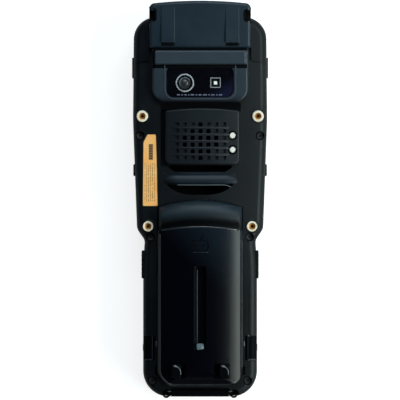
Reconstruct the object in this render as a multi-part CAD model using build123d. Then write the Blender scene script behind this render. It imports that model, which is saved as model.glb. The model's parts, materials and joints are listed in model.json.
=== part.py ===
from build123d import *
from math import sqrt
import os

# Portable barcode data terminal, lying on its front rim with its back up.
# X runs across the device, +Y points to its scanner end, +Z out of its back. Millimetres.

# Battery cells set the size of the grip
cell_diameter = 18.4
cell_length = 65.0
cell_spacing = 18.6
cell_nub = 0.8
tray_wall = 0.9
cell_clearance = 0.1
cover_wall = 1.2
cell_side_room = 1.55
pack_clearance = 0.3
roll_length = 13.1
roll_to_cell = 0.8
latch_zone = 7.75
latch_inset = 5.0

# Body outline, half widths along X and places along Y
grip_margin = 6.95
grip_half_width = cell_spacing / 2 + cell_diameter / 2 + cell_side_room + cover_wall + pack_clearance + grip_margin
waist_half_width = grip_half_width - 0.8
head_half_width = 33.6
shoulder_half_width = head_half_width - 0.5
head_end_half_width = head_half_width - 2.0
head_top = 91.3
head_widest = 40.0
head_end = -14.6
waist_top = -20.2
grip_top = -32.0
shoulder_radius = 11.0
end_radius = 13.0
head_end_radius = 6.0
waist_radius = 4.0
flank_radius = 150.0
grip_flank_radius = 60.0

# Battery bay and pack along Y
bay_top = 0.0
bay_top_sag = 3.6
pack_top = bay_top - pack_clearance
dome_top = pack_top - roll_length
dome_top_sag = 2.0
cell_top = dome_top - cover_wall - roll_to_cell
cell_end = cell_top - cell_length
latch_y = cell_end - latch_inset
pack_end = latch_y - latch_zone
bay_end = pack_end - pack_clearance
end_margin = 5.15
body_end = bay_end - end_margin
pack_corner = 9.0

# Heights along Z
seal_setback = 0.3
seal_width = 2.5
face_recess = 0.8
face_thickness = 1.6
front_depth = 9.7
gasket_thickness = 0.6
rear_depth = 13.7
seam_z = front_depth
rear_seam_z = front_depth + gasket_thickness
back_z = rear_seam_z + rear_depth
face_in_z = face_recess + face_thickness
front_round = 2.5
back_round = 3.5
wall = 2.0
ceiling = 1.8

# Battery pack heights
bay_floor = 1.2
pack_z = rear_seam_z + bay_floor + pack_clearance
cell_z = pack_z + tray_wall + cell_clearance + cell_diameter / 2
pack_split_z = pack_z + 6.4
dome_radius = 46.4
cell_reach = dome_radius - cover_wall - cell_clearance - cell_diameter / 2
crown_z = cell_z + dome_radius - sqrt(cell_reach**2 - (cell_spacing / 2) ** 2)
roll_z = crown_z - 4.6
valley_z = crown_z - 6.4
bay_wall = 1.4

# Channel in the battery cover
channel_half_width = 3.75
channel_floor_half_width = 1.9
channel_depth = 2.6
channel_top = dome_top - 19.75
channel_length = 43.0
channel_ramp = 4.5

# Battery latches, pinched towards each other
latch_x = 11.9
latch_width = 5.2
latch_length = 7.0
latch_travel = 2.0
latch_pocket_depth = 2.6
latch_pocket_drop = 1.6
latch_stem_half = 1.5
latch_plate_gap = 0.6
latch_bar_width = 4.0
latch_clearance = 0.25
latch_bar_room = 0.8
tooth_reach = 0.7
tooth_height = 1.8

# Rubber bumper round the scanner end
bumper_thickness = 2.0
bumper_seam = 68.1
bumper_seam_slope = 0.2
bumper_rise = 0.8
lip_proud = 0.45
lip_length = 7.0
lip_depth = 1.0
lip_low_z = 5.0
lip_high_z = 20.0
neck_drop = 1.2

# Scanner cap
cap_half_width = 25.4
cap_top = 99.45
cap_arch = 1.5
cap_corner = 2.8
cap_bottom = 75.7
cap_rise = 3.6
cap_wall = 1.8
cap_round = 1.6
cap_gap = 0.1
nose_setback = 0.4
nose_z = 2.2
rib_inner = 12.6
rib_outer = 19.6
rib_top = 96.9
rib_bottom = 78.7
rib_rise = 1.0
notch_inner = 22.3
notch_top = 94.7
notch_bottom = 89.3
notch_depth = 3.2
scan_window_half_width = 14.0
scan_window_low_z = 13.6
scan_window_high_z = 22.6
scan_window_thickness = 1.2
scan_window_setback = 0.7
engine_half_width = 11.0
engine_length = 14.0
fit_gap = 0.15

# Camera bezel, window and visor
bezel_half_width = 24.0
bezel_bottom = 48.8
bezel_corner = 6.5
bezel_rise = 3.4
bezel_round = 1.2
window_half_width = 16.7
window_top = 66.9
window_bottom = 51.3
window_corner = 3.8
window_drop = 0.7
window_thickness = 1.2
visor_half_width = 23.0
visor_top = 74.6
visor_bottom = 67.5
visor_rise = 1.5
visor_foot = 1.2
lens_x = -7.6
lens_y = 58.35
lens_radius = 4.6
lens_bore = 3.0
flash_x = 7.7
flash_y = 58.45
flash_size = 5.6
flash_opening = 3.8
flash_led_size = 2.0
camera_block = 9.0

# Speaker platform and its grid of holes
grille_left = -17.5
grille_right = 19.7
grille_top = 45.8
grille_sag = 1.3
grille_bottom = 17.5
grille_rise = 2.6
grille_corner = 3.0
grille_round = 0.9
grille_pitch_x = 3.92
grille_pitch_y = 3.36
grille_hole = 2.1
grille_hole_depth = 0.9
grille_center_x = 0.2
grille_center_y = 29.2
grille_columns = 7
grille_open = [1, 3, 5, 5, 3, 1]
speaker_radius = 10.0
speaker_depth = 4.2
pin_radius = 1.65
pin_well_radius = 2.15
pin_x = 16.25
pin_top_y = 32.1
pin_pitch = 7.1

# Threaded inserts and case screws
insert_radius = 2.85
insert_bore = 1.25
insert_length = 6.0
insert_proud = 0.5
insert_boss = 3.7
upper_insert_edge = 4.65
upper_insert_y = 41.75
lower_insert_edge = 5.6
lower_insert_y = -13.3
insert_fit = 0.02
screw_head_radius = 1.9
screw_head_height = 1.6
screw_recess = 2.2
counterbore_radius = 2.2
counterbore_depth = 3.8
screw_radius = 1.2
screw_boss = 2.8
screw_hole = 1.45
upper_screw_edge = 3.6
upper_screw_y = 32.0
middle_screw_edge = 3.7
middle_screw_y = -18.65
lower_screw_edge = 4.7
lower_screw_from_end = 8.1

# Label on the left flank
label_left = -28.6
label_top = 32.6
label_bottom = -3.1
label_width = 7.3
label_thickness = 0.25

# Hand strap bar over its slot
strap_half_width = 16.5
strap_top = 17.35
strap_bottom = 2.35
strap_slot_depth = 9.5
strap_bar_top = 13.85
strap_bar_bottom = 7.35
strap_bar_height = 5.2
strap_bar_rise = 0.9
strap_bar_seat = 1.5
strap_wall = 1.4

# Side keys
key_proud = 0.8
side_key_y = 14.85
side_key_length = 6.0
side_key_low_z = 13.6
side_key_high_z = 19.0
grip_key_from_top = 12.2
grip_key_length = 14.1
grip_key_low_z = 14.0
grip_key_high_z = 22.4
key_flange = 0.8
key_flange_top_z = 19.9
key_flange_thickness = 1.1
key_flange_room = 0.35
key_stem_depth = 0.6
key_slot_depth = 1.8
key_gap = 0.3

# Contacts between the bay and the pack
contact_count = 4
contact_pitch = 3.4
contact_setback = 0.15
contact_block_half_width = 7.5
contact_block_depth = 1.4
contact_block_low = 1.6
contact_block_high = 5.2
contact_slot_low = 2.2
contact_slot_high = 4.6

# Hinged covers at the sides and the end
cover_thickness = 1.6
cover_gap = 0.2
cover_half_length = 6.0
cover_low_z = 13.0
cover_axis_from_edge = 4.4
cover_axis_drop = 1.35
cover_knuckle = 1.15
cover_pin = 0.5
cover_pin_gap = 0.06
cover_pin_seat = 1.6
cover_swing_room = 0.4
port_cover_from_end = 24.45
end_cover_half_length = 14.5
end_cover_low_z = 4.0
end_cover_axis_from_edge = 3.0
socket_depth = 3.2
socket_length = 8.0
socket_height = 4.0
socket_low_z = 15.0
cradle_half_width = 8.0
cradle_depth = 4.0
cradle_height = 4.6

# Strap lugs at the end corners
lug_x = 16.9
lug_radius = 1.9
lug_bore = 0.9
lug_height = 4.0
lug_low_z = 15.5
lug_proud = 0.8
lug_notch = 2.7

# Front face: display and keys
rim_width = 4.5
bumper_rim = 5.0
display_half_width = 27.0
display_top = 80.5
display_bottom = 9.0
display_corner = 4.0
display_ledge = 2.0
display_glass = 1.3
display_depth = 3.5
earpiece_slot_y = 83.2
earpiece_slot_length = 10.0
key_face_z = 0.5
key_height = 2.8
front_key_flange = 0.6
scan_key_half_width = 10.0
scan_key_y = -1.5
nav_key_radius = 9.0
nav_key_y = -20.5
nav_key_bore = 3.4
number_key_width = 12.4
number_key_height = 7.4
number_key_pitch_x = 15.6
number_key_pitch_y = 11.2
number_key_y = -41.0
key_board_gap = 1.0
key_board_thickness = 1.0
main_board_z = 6.3
main_board_thickness = 1.2
main_board_top = 66.0
main_board_bottom = -12.0


def cuboid(x0, x1, y0, y1, z0, z1):
    return Pos((x0 + x1) / 2, (y0 + y1) / 2, (z0 + z1) / 2) * Box(x1 - x0, y1 - y0, z1 - z0)


def rod(x, y, radius, z0, z1):
    return Pos(x, y, (z0 + z1) / 2) * Cylinder(radius, z1 - z0)


def slab(face, z0, z1):
    return extrude(Pos(0, 0, z0) * face, amount=z1 - z0, dir=(0, 0, 1))


def plate(half_width, y0, y1, corner):
    return Pos(0, (y0 + y1) / 2, 0) * RectangleRounded(2 * half_width, y1 - y0, corner)


def mirrored(shape):
    return mirror(shape, about=Plane.YZ)


def both_sides(shape):
    return shape + mirrored(shape)


def top_edges(solid):
    return solid.edges().group_by(Axis.Z)[-1]


def bottom_edges(solid):
    return solid.edges().group_by(Axis.Z)[0]


def body_face(inset=0.0):
    """Plan of the whole body, drawn in by inset."""
    right = [
        (shoulder_half_width, head_top),
        (head_half_width, head_widest),
        (head_end_half_width, head_end),
        (waist_half_width, waist_top),
        (grip_half_width, grip_top),
        (grip_half_width, body_end),
    ]
    radii = [shoulder_radius, flank_radius, head_end_radius, waist_radius, grip_flank_radius, end_radius]
    left = [(-x, y) for x, y in reversed(right)]
    outline = FilletPolyline(*right, *left, radius=radii + radii[::-1], close=True)
    face = make_face(outline)
    if inset:
        face = offset(face, amount=-inset, kind=Kind.ARC)
    return face


def body_block(z0, z1, inset=0.0, top_round=0.0, bottom_round=0.0):
    block = slab(body_face(inset), z0, z1)
    if top_round:
        block = fillet(top_edges(block), top_round)
    if bottom_round:
        block = fillet(bottom_edges(block), bottom_round)
    return block


def bumper_zone(extra=0.0):
    """Plan of the scanner end that the rubber bumper covers, longer by extra."""
    far = 2 * head_half_width
    seam = bumper_seam - extra
    fall = bumper_seam_slope * (far - head_half_width)
    rise = bumper_seam_slope * (head_half_width - cap_half_width)
    corners = [
        (-far, seam - fall),
        (-cap_half_width, seam + rise),
        (cap_half_width, seam + rise),
        (far, seam - fall),
        (far, head_top + far),
        (-far, head_top + far),
    ]
    return make_face(Polyline(*corners, close=True))


def zone_slab(extra=0.0):
    return slab(bumper_zone(extra), -5, back_z + 20)


def cap_face(inset=0.0):
    """Plan of the scanner cap with its arched end."""
    side_top = cap_top - cap_arch
    arch = ThreePointArc((-cap_half_width, side_top), (0, cap_top), (cap_half_width, side_top))
    sides = Polyline(
        (cap_half_width, side_top),
        (cap_half_width, cap_bottom),
        (-cap_half_width, cap_bottom),
        (-cap_half_width, side_top),
    )
    face = make_face([*arch.edges(), *sides.edges()])
    face = fillet(face.vertices().group_by(Axis.Y)[-1], cap_corner)
    if inset:
        face = offset(face, amount=-inset, kind=Kind.ARC)
    return face


def shell_face(inset=0.0):
    """Plan of the housings: the body, drawn in under the bumper, with the nose."""
    zone = bumper_zone()
    main = body_face(inset) - zone
    neck = body_face(inset + bumper_thickness) & zone
    return main + neck + cap_face(inset + nose_setback)


def cavity_face():
    """Plan of the hollow inside the housings; the wall is double at the bumper's seam."""
    main = body_face(wall) - bumper_zone(wall)
    return main + body_face(wall + bumper_thickness) + cap_face(wall + nose_setback)


def screw_places():
    upper = head_half_width - upper_screw_edge
    middle = grip_half_width - middle_screw_edge
    lower = grip_half_width - lower_screw_edge
    lower_y = body_end + lower_screw_from_end
    right = [(upper, upper_screw_y), (middle, middle_screw_y), (lower, lower_y)]
    return right + [(-x, y) for x, y in right]


def insert_places():
    upper = head_half_width - upper_insert_edge
    lower = head_end_half_width - lower_insert_edge
    right = [(upper, upper_insert_y), (lower, lower_insert_y)]
    return right + [(-x, y) for x, y in right]


def rods_at(places, radius, z0, z1):
    return [rod(x, y, radius, z0, z1) for x, y in places]


def bay_face(inset=0.0):
    """Plan of the battery bay with its arched top."""
    half = grip_half_width - grip_margin - inset
    top = bay_top - inset
    arch = ThreePointArc((-half, top - bay_top_sag), (0, top), (half, top - bay_top_sag))
    sides = Polyline(
        (half, top - bay_top_sag), (half, bay_end + inset), (-half, bay_end + inset), (-half, top - bay_top_sag)
    )
    face = make_face([*arch.edges(), *sides.edges()])
    return fillet(face.vertices().group_by(Axis.Y)[0], pack_corner - inset)


# Hinged covers. Each is cut from the body's own rounded edge.

def cover_shell(inner, outer):
    """Skin of the rear body between two depths under its surface."""
    skin = body_block(-1, back_z - outer, inset=outer, top_round=back_round - outer)
    return skin - body_block(-2, back_z - inner, inset=inner, top_round=max(back_round - inner, 0.5))


def side_cover_box(grow=0.0):
    axis_x = grip_half_width - cover_axis_from_edge
    y = body_end + port_cover_from_end
    half = cover_half_length + grow
    return cuboid(axis_x, grip_half_width + 5, y - half, y + half, cover_low_z - grow, back_z + 5)


def end_cover_box(grow=0.0):
    axis_y = body_end + end_cover_axis_from_edge
    half = end_cover_half_length + grow
    return cuboid(-half, half, body_end - 5, axis_y, end_cover_low_z - grow, back_z + 5)


def side_barrel(radius, half):
    axis_x = grip_half_width - cover_axis_from_edge
    y = body_end + port_cover_from_end
    return Pos(axis_x, y, back_z - cover_axis_drop) * Rot(90, 0, 0) * Cylinder(radius, 2 * half)


def end_barrel(radius, half):
    axis_y = body_end + end_cover_axis_from_edge
    return Pos(0, axis_y, back_z - cover_axis_drop) * Rot(0, 90, 0) * Cylinder(radius, 2 * half)


def side_cover():
    cover = cover_shell(cover_thickness, 0) & side_cover_box()
    cover += side_barrel(cover_knuckle, cover_half_length)
    grip = cuboid(grip_half_width - 1, grip_half_width + 0.25, -1.6, 1.6, cover_low_z + 0.6, cover_low_z + 1.6)
    cover += Pos(0, body_end + port_cover_from_end, 0) * grip
    return cover - side_barrel(cover_pin + cover_pin_gap, cover_half_length + 1)


def end_cover():
    cover = cover_shell(cover_thickness, 0) & end_cover_box()
    cover += end_barrel(cover_knuckle, end_cover_half_length)
    count = 7
    pitch = 2 * end_cover_half_length / count
    for i in range(count):
        x = (i - (count - 1) / 2) * pitch
        cut = cuboid(x - 0.5, x + 0.5, body_end - 1, body_end + 0.4, end_cover_low_z + 2, back_z - 3.4)
        cover -= cut
    return cover - end_barrel(cover_pin + cover_pin_gap, end_cover_half_length + 1)


def cover_recesses():
    """Everything the housings give up to the three covers and their pins."""
    depth = cover_thickness + cover_gap
    side = cover_shell(depth, -2) & side_cover_box(cover_gap)
    side += side_barrel(cover_knuckle + cover_gap, cover_half_length + cover_gap)
    side += side_barrel(cover_pin + insert_fit, cover_half_length + cover_pin_seat)
    axis_x = grip_half_width - cover_axis_from_edge
    y = body_end + port_cover_from_end
    reach = cover_knuckle + cover_gap
    half = cover_half_length + cover_gap
    low = back_z - cover_axis_drop - cover_swing_room
    side += cuboid(axis_x - reach - cover_swing_room, axis_x, y - half, y + half, low, back_z + 5)
    end = cover_shell(depth, -2) & end_cover_box(cover_gap)
    end += end_barrel(cover_knuckle + cover_gap, end_cover_half_length + cover_gap)
    end += end_barrel(cover_pin + insert_fit, end_cover_half_length + cover_pin_seat)
    axis_y = body_end + end_cover_axis_from_edge
    half = end_cover_half_length + cover_gap
    end += cuboid(-half, half, axis_y, axis_y + reach, back_z - cover_axis_drop, back_z + 5)
    return both_sides(side) + end


def hinge_pins():
    side = side_barrel(cover_pin, cover_half_length + cover_pin_seat)
    end = end_barrel(cover_pin, end_cover_half_length + cover_pin_seat)
    return [side, mirrored(side), end]


# Keys in the flanks

def flank_key(outer_x, y, length, z0, z1):
    half = length / 2
    stem = cuboid(outer_x - wall - key_stem_depth, outer_x + key_proud, y - half, y + half, z0, z1)
    stem = fillet(stem.edges().filter_by(Axis.X), 1.2)
    stem = fillet(stem.faces().sort_by(Axis.X)[-1].edges(), 0.6)
    return stem + flank_flange(outer_x, y, length, z0, z1)


def flank_flange(outer_x, y, length, z0, z1, grow=0.0):
    """Collar that keeps a key behind the wall of the housing."""
    half = length / 2 + key_flange + grow
    inner = outer_x - wall - key_flange_room
    top = min(z1 + key_flange, key_flange_top_z)
    return cuboid(inner - key_flange_thickness - 2 * grow, inner + grow, y - half, y + half,
                  z0 - key_flange - grow, top + grow)


def flank_slot(outer_x, y, length, z0, z1):
    half = length / 2 + key_gap
    inner = outer_x - wall - key_slot_depth
    slot = cuboid(inner, outer_x + 3, y - half, y + half, z0 - key_gap, z1 + key_gap)
    slot = fillet(slot.edges().filter_by(Axis.X), 1.2)
    return slot + flank_flange(outer_x, y, length, z0, z1, grow=0.25)


def side_key():
    return flank_key(flank_x(side_key_y), side_key_y, side_key_length, side_key_low_z, side_key_high_z)


def grip_key():
    y = waist_top - grip_key_from_top
    return flank_key(grip_half_width, y, grip_key_length, grip_key_low_z, grip_key_high_z)


def flank_x(y):
    """Half width of the head's flank below its widest place."""
    share = (head_widest - y) / (head_widest - head_end)
    return head_half_width + (head_end_half_width - head_half_width) * share


def key_slots():
    upper = flank_slot(flank_x(side_key_y), side_key_y, side_key_length, side_key_low_z, side_key_high_z)
    y = waist_top - grip_key_from_top
    lower = flank_slot(grip_half_width, y, grip_key_length, grip_key_low_z, grip_key_high_z)
    return both_sides(upper + lower)


# Housings

def strap_hollow(grow=0.0):
    floor = back_z - strap_slot_depth - grow
    half = strap_half_width + grow
    hollow = cuboid(-half, half, strap_bottom - grow, strap_top + grow, floor, back_z + 5)
    if not grow:
        hollow = fillet(hollow.edges().filter_by(Axis.Z), 2.0)
    return hollow


def lug_places():
    y = body_end - lug_proud + lug_radius
    return [(-lug_x, y), (lug_x, y)]


def strap_lugs():
    lugs = []
    for x, y in lug_places():
        lug = rod(x, y, lug_radius, lug_low_z, lug_low_z + lug_height)
        lug = fillet(lug.edges(), 0.5)
        lug -= rod(x, y, lug_bore, lug_low_z - 1, lug_low_z + lug_height + 1)
        lugs.append(lug)
    return lugs


def lip_notches():
    """What the housings give up to the bumper's side lips."""
    notch = cuboid(
        head_half_width - lip_depth, head_half_width + 3, bumper_seam - lip_length - 0.1, bumper_seam + 2,
        lip_low_z - 0.1, lip_high_z + 0.1
    )
    return both_sides(notch)


def front_housing():
    zone = zone_slab()
    outer = body_block(0, seam_z, bottom_round=front_round) - zone
    outer += slab(shell_face(), nose_z, seam_z) & zone
    outer += slab(body_face(bumper_rim), face_recess, nose_z + 0.5) & zone
    outer -= slab(body_face(rim_width) - bumper_zone(), -1, face_recess)
    cavity = slab(body_face(wall), face_in_z, seam_z + 1) - zone_slab(wall)
    cavity += slab(body_face(bumper_rim + wall), face_in_z, seam_z + 1)
    cavity += slab(cavity_face(), face_in_z + 1.6, seam_z + 1)
    for boss in rods_at(screw_places(), screw_boss, face_in_z - 0.5, seam_z + 2):
        cavity -= boss
    end_block = cuboid(
        -end_cover_half_length - 2, end_cover_half_length + 2, body_end, body_end + 7.5, face_in_z - 0.5, seam_z + 2
    )
    cavity -= end_block
    housing = outer - cavity
    for bore in rods_at(screw_places(), screw_radius + insert_fit, face_in_z + 0.6, seam_z + 1):
        housing -= bore
    housing -= cover_recesses()
    housing -= front_openings()
    housing -= cradle_block(fit_gap)
    return housing - lip_notches()


def front_openings():
    opening = slab(plate(display_half_width + fit_gap, display_bottom - fit_gap, display_top + fit_gap,
                         display_corner), -1, face_recess + display_glass)
    opening += slab(plate(display_half_width - display_ledge, display_bottom + display_ledge,
                          display_top - display_ledge, display_corner / 2), 0, face_in_z + 1)
    slot = Pos(0, earpiece_slot_y, 0) * SlotOverall(earpiece_slot_length, 1.2)
    opening += slab(slot, 0, face_in_z + 1)
    opening += rod(0, body_end + 6.5, 0.6, 0, face_in_z + 0.2)
    for face in front_key_faces().values():
        opening += slab(offset(face, amount=key_gap, kind=Kind.ARC), 0, face_in_z + 1)
    return opening


def housing_seal():
    ring = shell_face(seal_setback)
    ring -= shell_face(seal_setback + seal_width)
    lugs = Sketch() + [Pos(x, y) * Circle(screw_boss) for x, y in screw_places()]
    ring += lugs & shell_face(seal_setback)
    behind = body_end + cover_thickness + cover_gap
    ring += Pos(0, behind + wall / 2, 0) * Rectangle(2 * end_cover_half_length + 4, wall)
    ring -= Sketch() + [Pos(x, y) * Circle(screw_hole) for x, y in screw_places()]
    seal = slab(ring, seam_z, rear_seam_z)
    seal -= cover_recesses()
    return seal - lip_notches()


def rear_outer():
    zone = zone_slab()
    full = body_block(rear_seam_z, back_z, top_round=back_round)
    neck_z = back_z - neck_drop
    neck = body_block(rear_seam_z, neck_z, inset=bumper_thickness, top_round=back_round - bumper_thickness)
    centre = full & cuboid(-cap_half_width, cap_half_width, bumper_seam - 5, cap_bottom, 0, back_z + 5)
    outer = (full - zone) + (neck & zone) + centre
    cap_hole = cuboid(-cap_half_width - cap_gap, cap_half_width + cap_gap, cap_bottom - cap_gap, cap_top + 5,
                      0, back_z + 5)
    return outer - cap_hole


def rear_cavity():
    top = back_z - ceiling
    cavity = slab(body_face(wall), rear_seam_z - 1, top - 2) - zone_slab(wall)
    cavity += slab(body_face(bumper_thickness + wall), rear_seam_z - 1, top - neck_drop)
    inner = slab(body_face(wall + 1.6), rear_seam_z - 1, top) - zone_slab(wall)
    return cavity + inner


def rear_keeps():
    """Solid parts left standing inside the rear housing."""
    top = back_z - 0.5
    keeps = slab(bay_face(-bay_wall), rear_seam_z - 2, top)
    keeps += strap_hollow(strap_wall) & cuboid(-40, 40, -10, 60, 0, top)
    for boss in rods_at(screw_places(), screw_boss, rear_seam_z - 2, top):
        keeps += boss
    for boss in rods_at(insert_places(), insert_boss, back_z - insert_length - 3, top):
        keeps += boss
    y = body_end + port_cover_from_end
    inner = grip_half_width - grip_margin
    port = cuboid(inner, grip_half_width - 1, y - cover_half_length - 2, y + cover_half_length + 2,
                  rear_seam_z - 2, top)
    keeps += both_sides(port)
    half = end_cover_half_length + 2
    keeps += cuboid(-half, half, body_end + 0.5, bay_end, rear_seam_z - 2, top)
    for x, y in lug_places():
        keeps += rod(x, y, lug_notch + 1.4, rear_seam_z - 2, top)
    return keeps


def rear_bores():
    low = rear_seam_z - 3
    bores = rods_at(screw_places(), screw_hole, low, back_z + 1)
    bores += rods_at(screw_places(), counterbore_radius, back_z - counterbore_depth, back_z + 3)
    bores += rods_at(insert_places(), insert_radius + insert_fit, back_z - insert_length, back_z + 3)
    for x, y in lug_places():
        bores.append(rod(x, y, lug_radius + insert_fit, lug_low_z, lug_low_z + lug_height))
        bores.append(rod(x, y, lug_notch, lug_low_z + lug_height, back_z + 3))
        bores.append(rod(x, y, lug_bore + 0.3, rear_seam_z - 3, lug_low_z + 1))
    return bores


def latch_notch():
    x = grip_half_width - grip_margin
    half = latch_bar_width / 2 + latch_clearance
    return cuboid(x - 1, x + tooth_reach + 0.3, latch_y - half, latch_y + half, back_z - 3.2, back_z + 5)


def rear_housing():
    housing = rear_outer()
    for boss in rods_at(insert_places(), insert_boss, back_z - insert_length - 3, back_z + 0.2):
        housing += fillet(top_edges(boss), 0.6)
    housing -= rear_cavity() - rear_keeps()
    housing -= slab(bay_face(), rear_seam_z + bay_floor, back_z + 5)
    housing -= strap_hollow()
    housing -= strap_bar(fit=0.02)
    for bore in rear_bores():
        housing -= bore
    housing -= cover_recesses()
    housing -= key_slots()
    housing -= both_sides(latch_notch())
    housing -= slab(plate(window_half_width - 2, window_bottom + 2, window_top - 2, 2), back_z - 5, back_z + 1)
    housing -= rod(grille_center_x, grille_center_y, speaker_radius - 0.8, back_z - 5, back_z + 1)
    housing -= pin_rods(pin_radius + fit_gap, back_z - 5, back_z + 1)
    housing -= lip_notches()
    housing -= both_sides(socket_block(fit_gap))
    return housing - bay_contact_block(fit_gap, front=0.4)


def top_bumper():
    zone = zone_slab()
    top = back_z + bumper_rise
    outer = body_block(0, top, top_round=back_round, bottom_round=front_round) & zone
    inner = slab(body_face(bumper_thickness), nose_z, back_z - neck_drop)
    inner += slab(body_face(bumper_rim), -1, nose_z + 1)
    outer -= inner
    outer -= cuboid(-cap_half_width - cap_gap, cap_half_width + cap_gap, 0, cap_top + 9, nose_z, top + 5)
    half_lip = cuboid(
        head_half_width - lip_depth + 0.1, head_half_width + lip_proud, bumper_seam - lip_length, bumper_seam + 3,
        lip_low_z, lip_high_z
    )
    half_lip = fillet(half_lip.edges().filter_by(Axis.Y).group_by(Axis.X)[-1], 0.4)
    return outer + both_sides(half_lip)


def top_cap():
    top = back_z + cap_rise
    cap = slab(cap_face(), rear_seam_z, top)
    cap = fillet(top_edges(cap), cap_round)
    hollow = slab(cap_face(cap_wall), rear_seam_z - 1, top - cap_wall)
    hollow += cuboid(-cap_half_width + cap_wall, cap_half_width - cap_wall, cap_bottom - 1, cap_bottom + 3,
                     rear_seam_z - 1, back_z - 2)
    cap -= hollow
    rib = Plane.YZ * make_face(
        Polyline((rib_top, top - 0.4), (rib_bottom, top - 0.4), (rib_bottom, top + rib_rise), (rib_top, top),
                 close=True)
    )
    rib = Pos(rib_inner, 0, 0) * extrude(rib, amount=rib_outer - rib_inner, dir=(1, 0, 0))
    rib = fillet(rib.edges().filter_by(Axis.Y, reverse=True).filter_by(Axis.X, reverse=True)
                 .filter_by(Axis.Z, reverse=True), 0.4)
    cap += both_sides(rib)
    notch = cuboid(notch_inner, cap_half_width + 2, notch_bottom, notch_top, top - notch_depth, top + 3)
    floor = cuboid(notch_inner - 1.4, cap_half_width - 0.2, notch_bottom - 1.4, notch_top + 1.2,
                   top - notch_depth - 1.4, top - 1)
    cap += both_sides(floor)
    cap -= both_sides(notch)
    cap -= scan_window(grow=fit_gap, extra=4)
    inner = scan_window_half_width - 1
    cap -= cuboid(-inner, inner, cap_top - 8, cap_top + 1, scan_window_low_z + 1, scan_window_high_z - 1)
    return cap


def scan_window(grow=0.0, extra=0.0):
    y1 = cap_top - scan_window_setback
    return cuboid(
        -scan_window_half_width - grow, scan_window_half_width + grow, y1 - scan_window_thickness, y1 + extra,
        scan_window_low_z - grow, scan_window_high_z + grow
    )


def scan_engine():
    y1 = cap_top - scan_window_setback - scan_window_thickness - 0.3
    body = cuboid(-engine_half_width, engine_half_width, y1 - engine_length, y1 - 2, 12.0, 23.6)
    for x in (-5.5, 5.5):
        body += Pos(x, y1 - 1.2, 18) * Rot(90, 0, 0) * Cylinder(3.6, 2.4)
    return body


def camera_bezel():
    top = back_z + bezel_rise
    plan = plate(bezel_half_width, bezel_bottom, cap_bottom - 0.3, bezel_corner)
    plan += plate(bezel_half_width, bezel_bottom + 12, cap_bottom - 0.3, 0.5)
    bezel = slab(plan, back_z, top)
    bezel = fillet(top_edges(bezel), bezel_round)
    recess_z = top - window_drop - window_thickness
    bezel -= slab(plate(window_half_width + fit_gap, window_bottom - fit_gap, window_top + fit_gap,
                        window_corner), recess_z, top + 2)
    bezel -= slab(plate(window_half_width - 1.5, window_bottom + 1.5, window_top - 1.5, 2.4), back_z - 1, top)
    bezel -= visor_foot_block(0.05)
    return bezel


def visor_foot_block(grow=0.0):
    half = visor_half_width - 2 + grow
    low = back_z + bezel_rise - visor_foot
    return cuboid(-half, half, visor_bottom + 1.6 - grow, visor_top - 1.6 + grow, low, back_z + bezel_rise + 1)


def visor_bar():
    low = back_z + bezel_rise
    high = low + visor_rise
    bar = cuboid(-visor_half_width, visor_half_width, visor_bottom, visor_top, low, high)
    bar = fillet(bar.edges().filter_by(Axis.Z), 1.0)
    bar = fillet(top_edges(bar), 1.0)
    return bar + visor_foot_block()


def camera_window():
    top = back_z + bezel_rise - window_drop
    glass = slab(plate(window_half_width, window_bottom, window_top, window_corner - fit_gap),
                 top - window_thickness, top)
    glass = fillet(top_edges(glass), 0.25)
    glass -= rod(lens_x, lens_y, lens_radius + 0.05, back_z, top + 1)
    half = flash_size / 2 + 0.05
    glass -= cuboid(flash_x - half, flash_x + half, flash_y - half, flash_y + half, back_z, top + 1)
    return glass


def lens_ring():
    top = back_z + bezel_rise - window_drop
    ring = rod(lens_x, lens_y, lens_radius, top - 2.2, top + 0.15)
    ring = fillet(top_edges(ring), 0.3)
    cone = Pos(lens_x, lens_y, top - 0.35) * Cone(lens_bore, lens_bore + 0.8, 1.2)
    ring -= rod(lens_x, lens_y, lens_bore, top - 4, top + 1)
    return ring - cone


def camera_module():
    top = back_z + bezel_rise - window_drop
    barrel_top = top - 0.7
    half = camera_block / 2
    body = cuboid(lens_x - half, lens_x + half, lens_y - half, lens_y + half, back_z - 5, top - 2.3)
    body += rod(lens_x, lens_y, lens_bore - 0.05, top - 4, barrel_top)
    body -= Pos(lens_x, lens_y, barrel_top) * Cone(1.2, 2.4, 1.0)
    eye = Pos(lens_x, lens_y, barrel_top - 1.9) * Sphere(1.9)
    return body + (eye & rod(lens_x, lens_y, 1.3, back_z - 4, top))


def flash_frame():
    top = back_z + bezel_rise - window_drop
    half = flash_size / 2
    frame = cuboid(flash_x - half, flash_x + half, flash_y - half, flash_y + half, top - 2.2, top + 0.1)
    frame = fillet(frame.edges().filter_by(Axis.Z), 0.4)
    half = flash_opening / 2
    return frame - cuboid(flash_x - half, flash_x + half, flash_y - half, flash_y + half, top - 1.0, top + 1)


def flash_led():
    top = back_z + bezel_rise - window_drop
    half = flash_led_size / 2
    led = cuboid(flash_x - half, flash_x + half, flash_y - half, flash_y + half, top - 1.0, top - 0.3)
    return fillet(top_edges(led), 0.3)


def pin_rods(radius, z0, z1):
    return [rod(pin_x, pin_top_y - i * pin_pitch, radius, z0, z1) for i in range(2)]


def contact_pins():
    pins = []
    for pin in pin_rods(pin_radius, back_z - 2.4, back_z + grille_rise - 0.35):
        pins.append(fillet(top_edges(pin), 0.6))
    return pins


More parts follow.
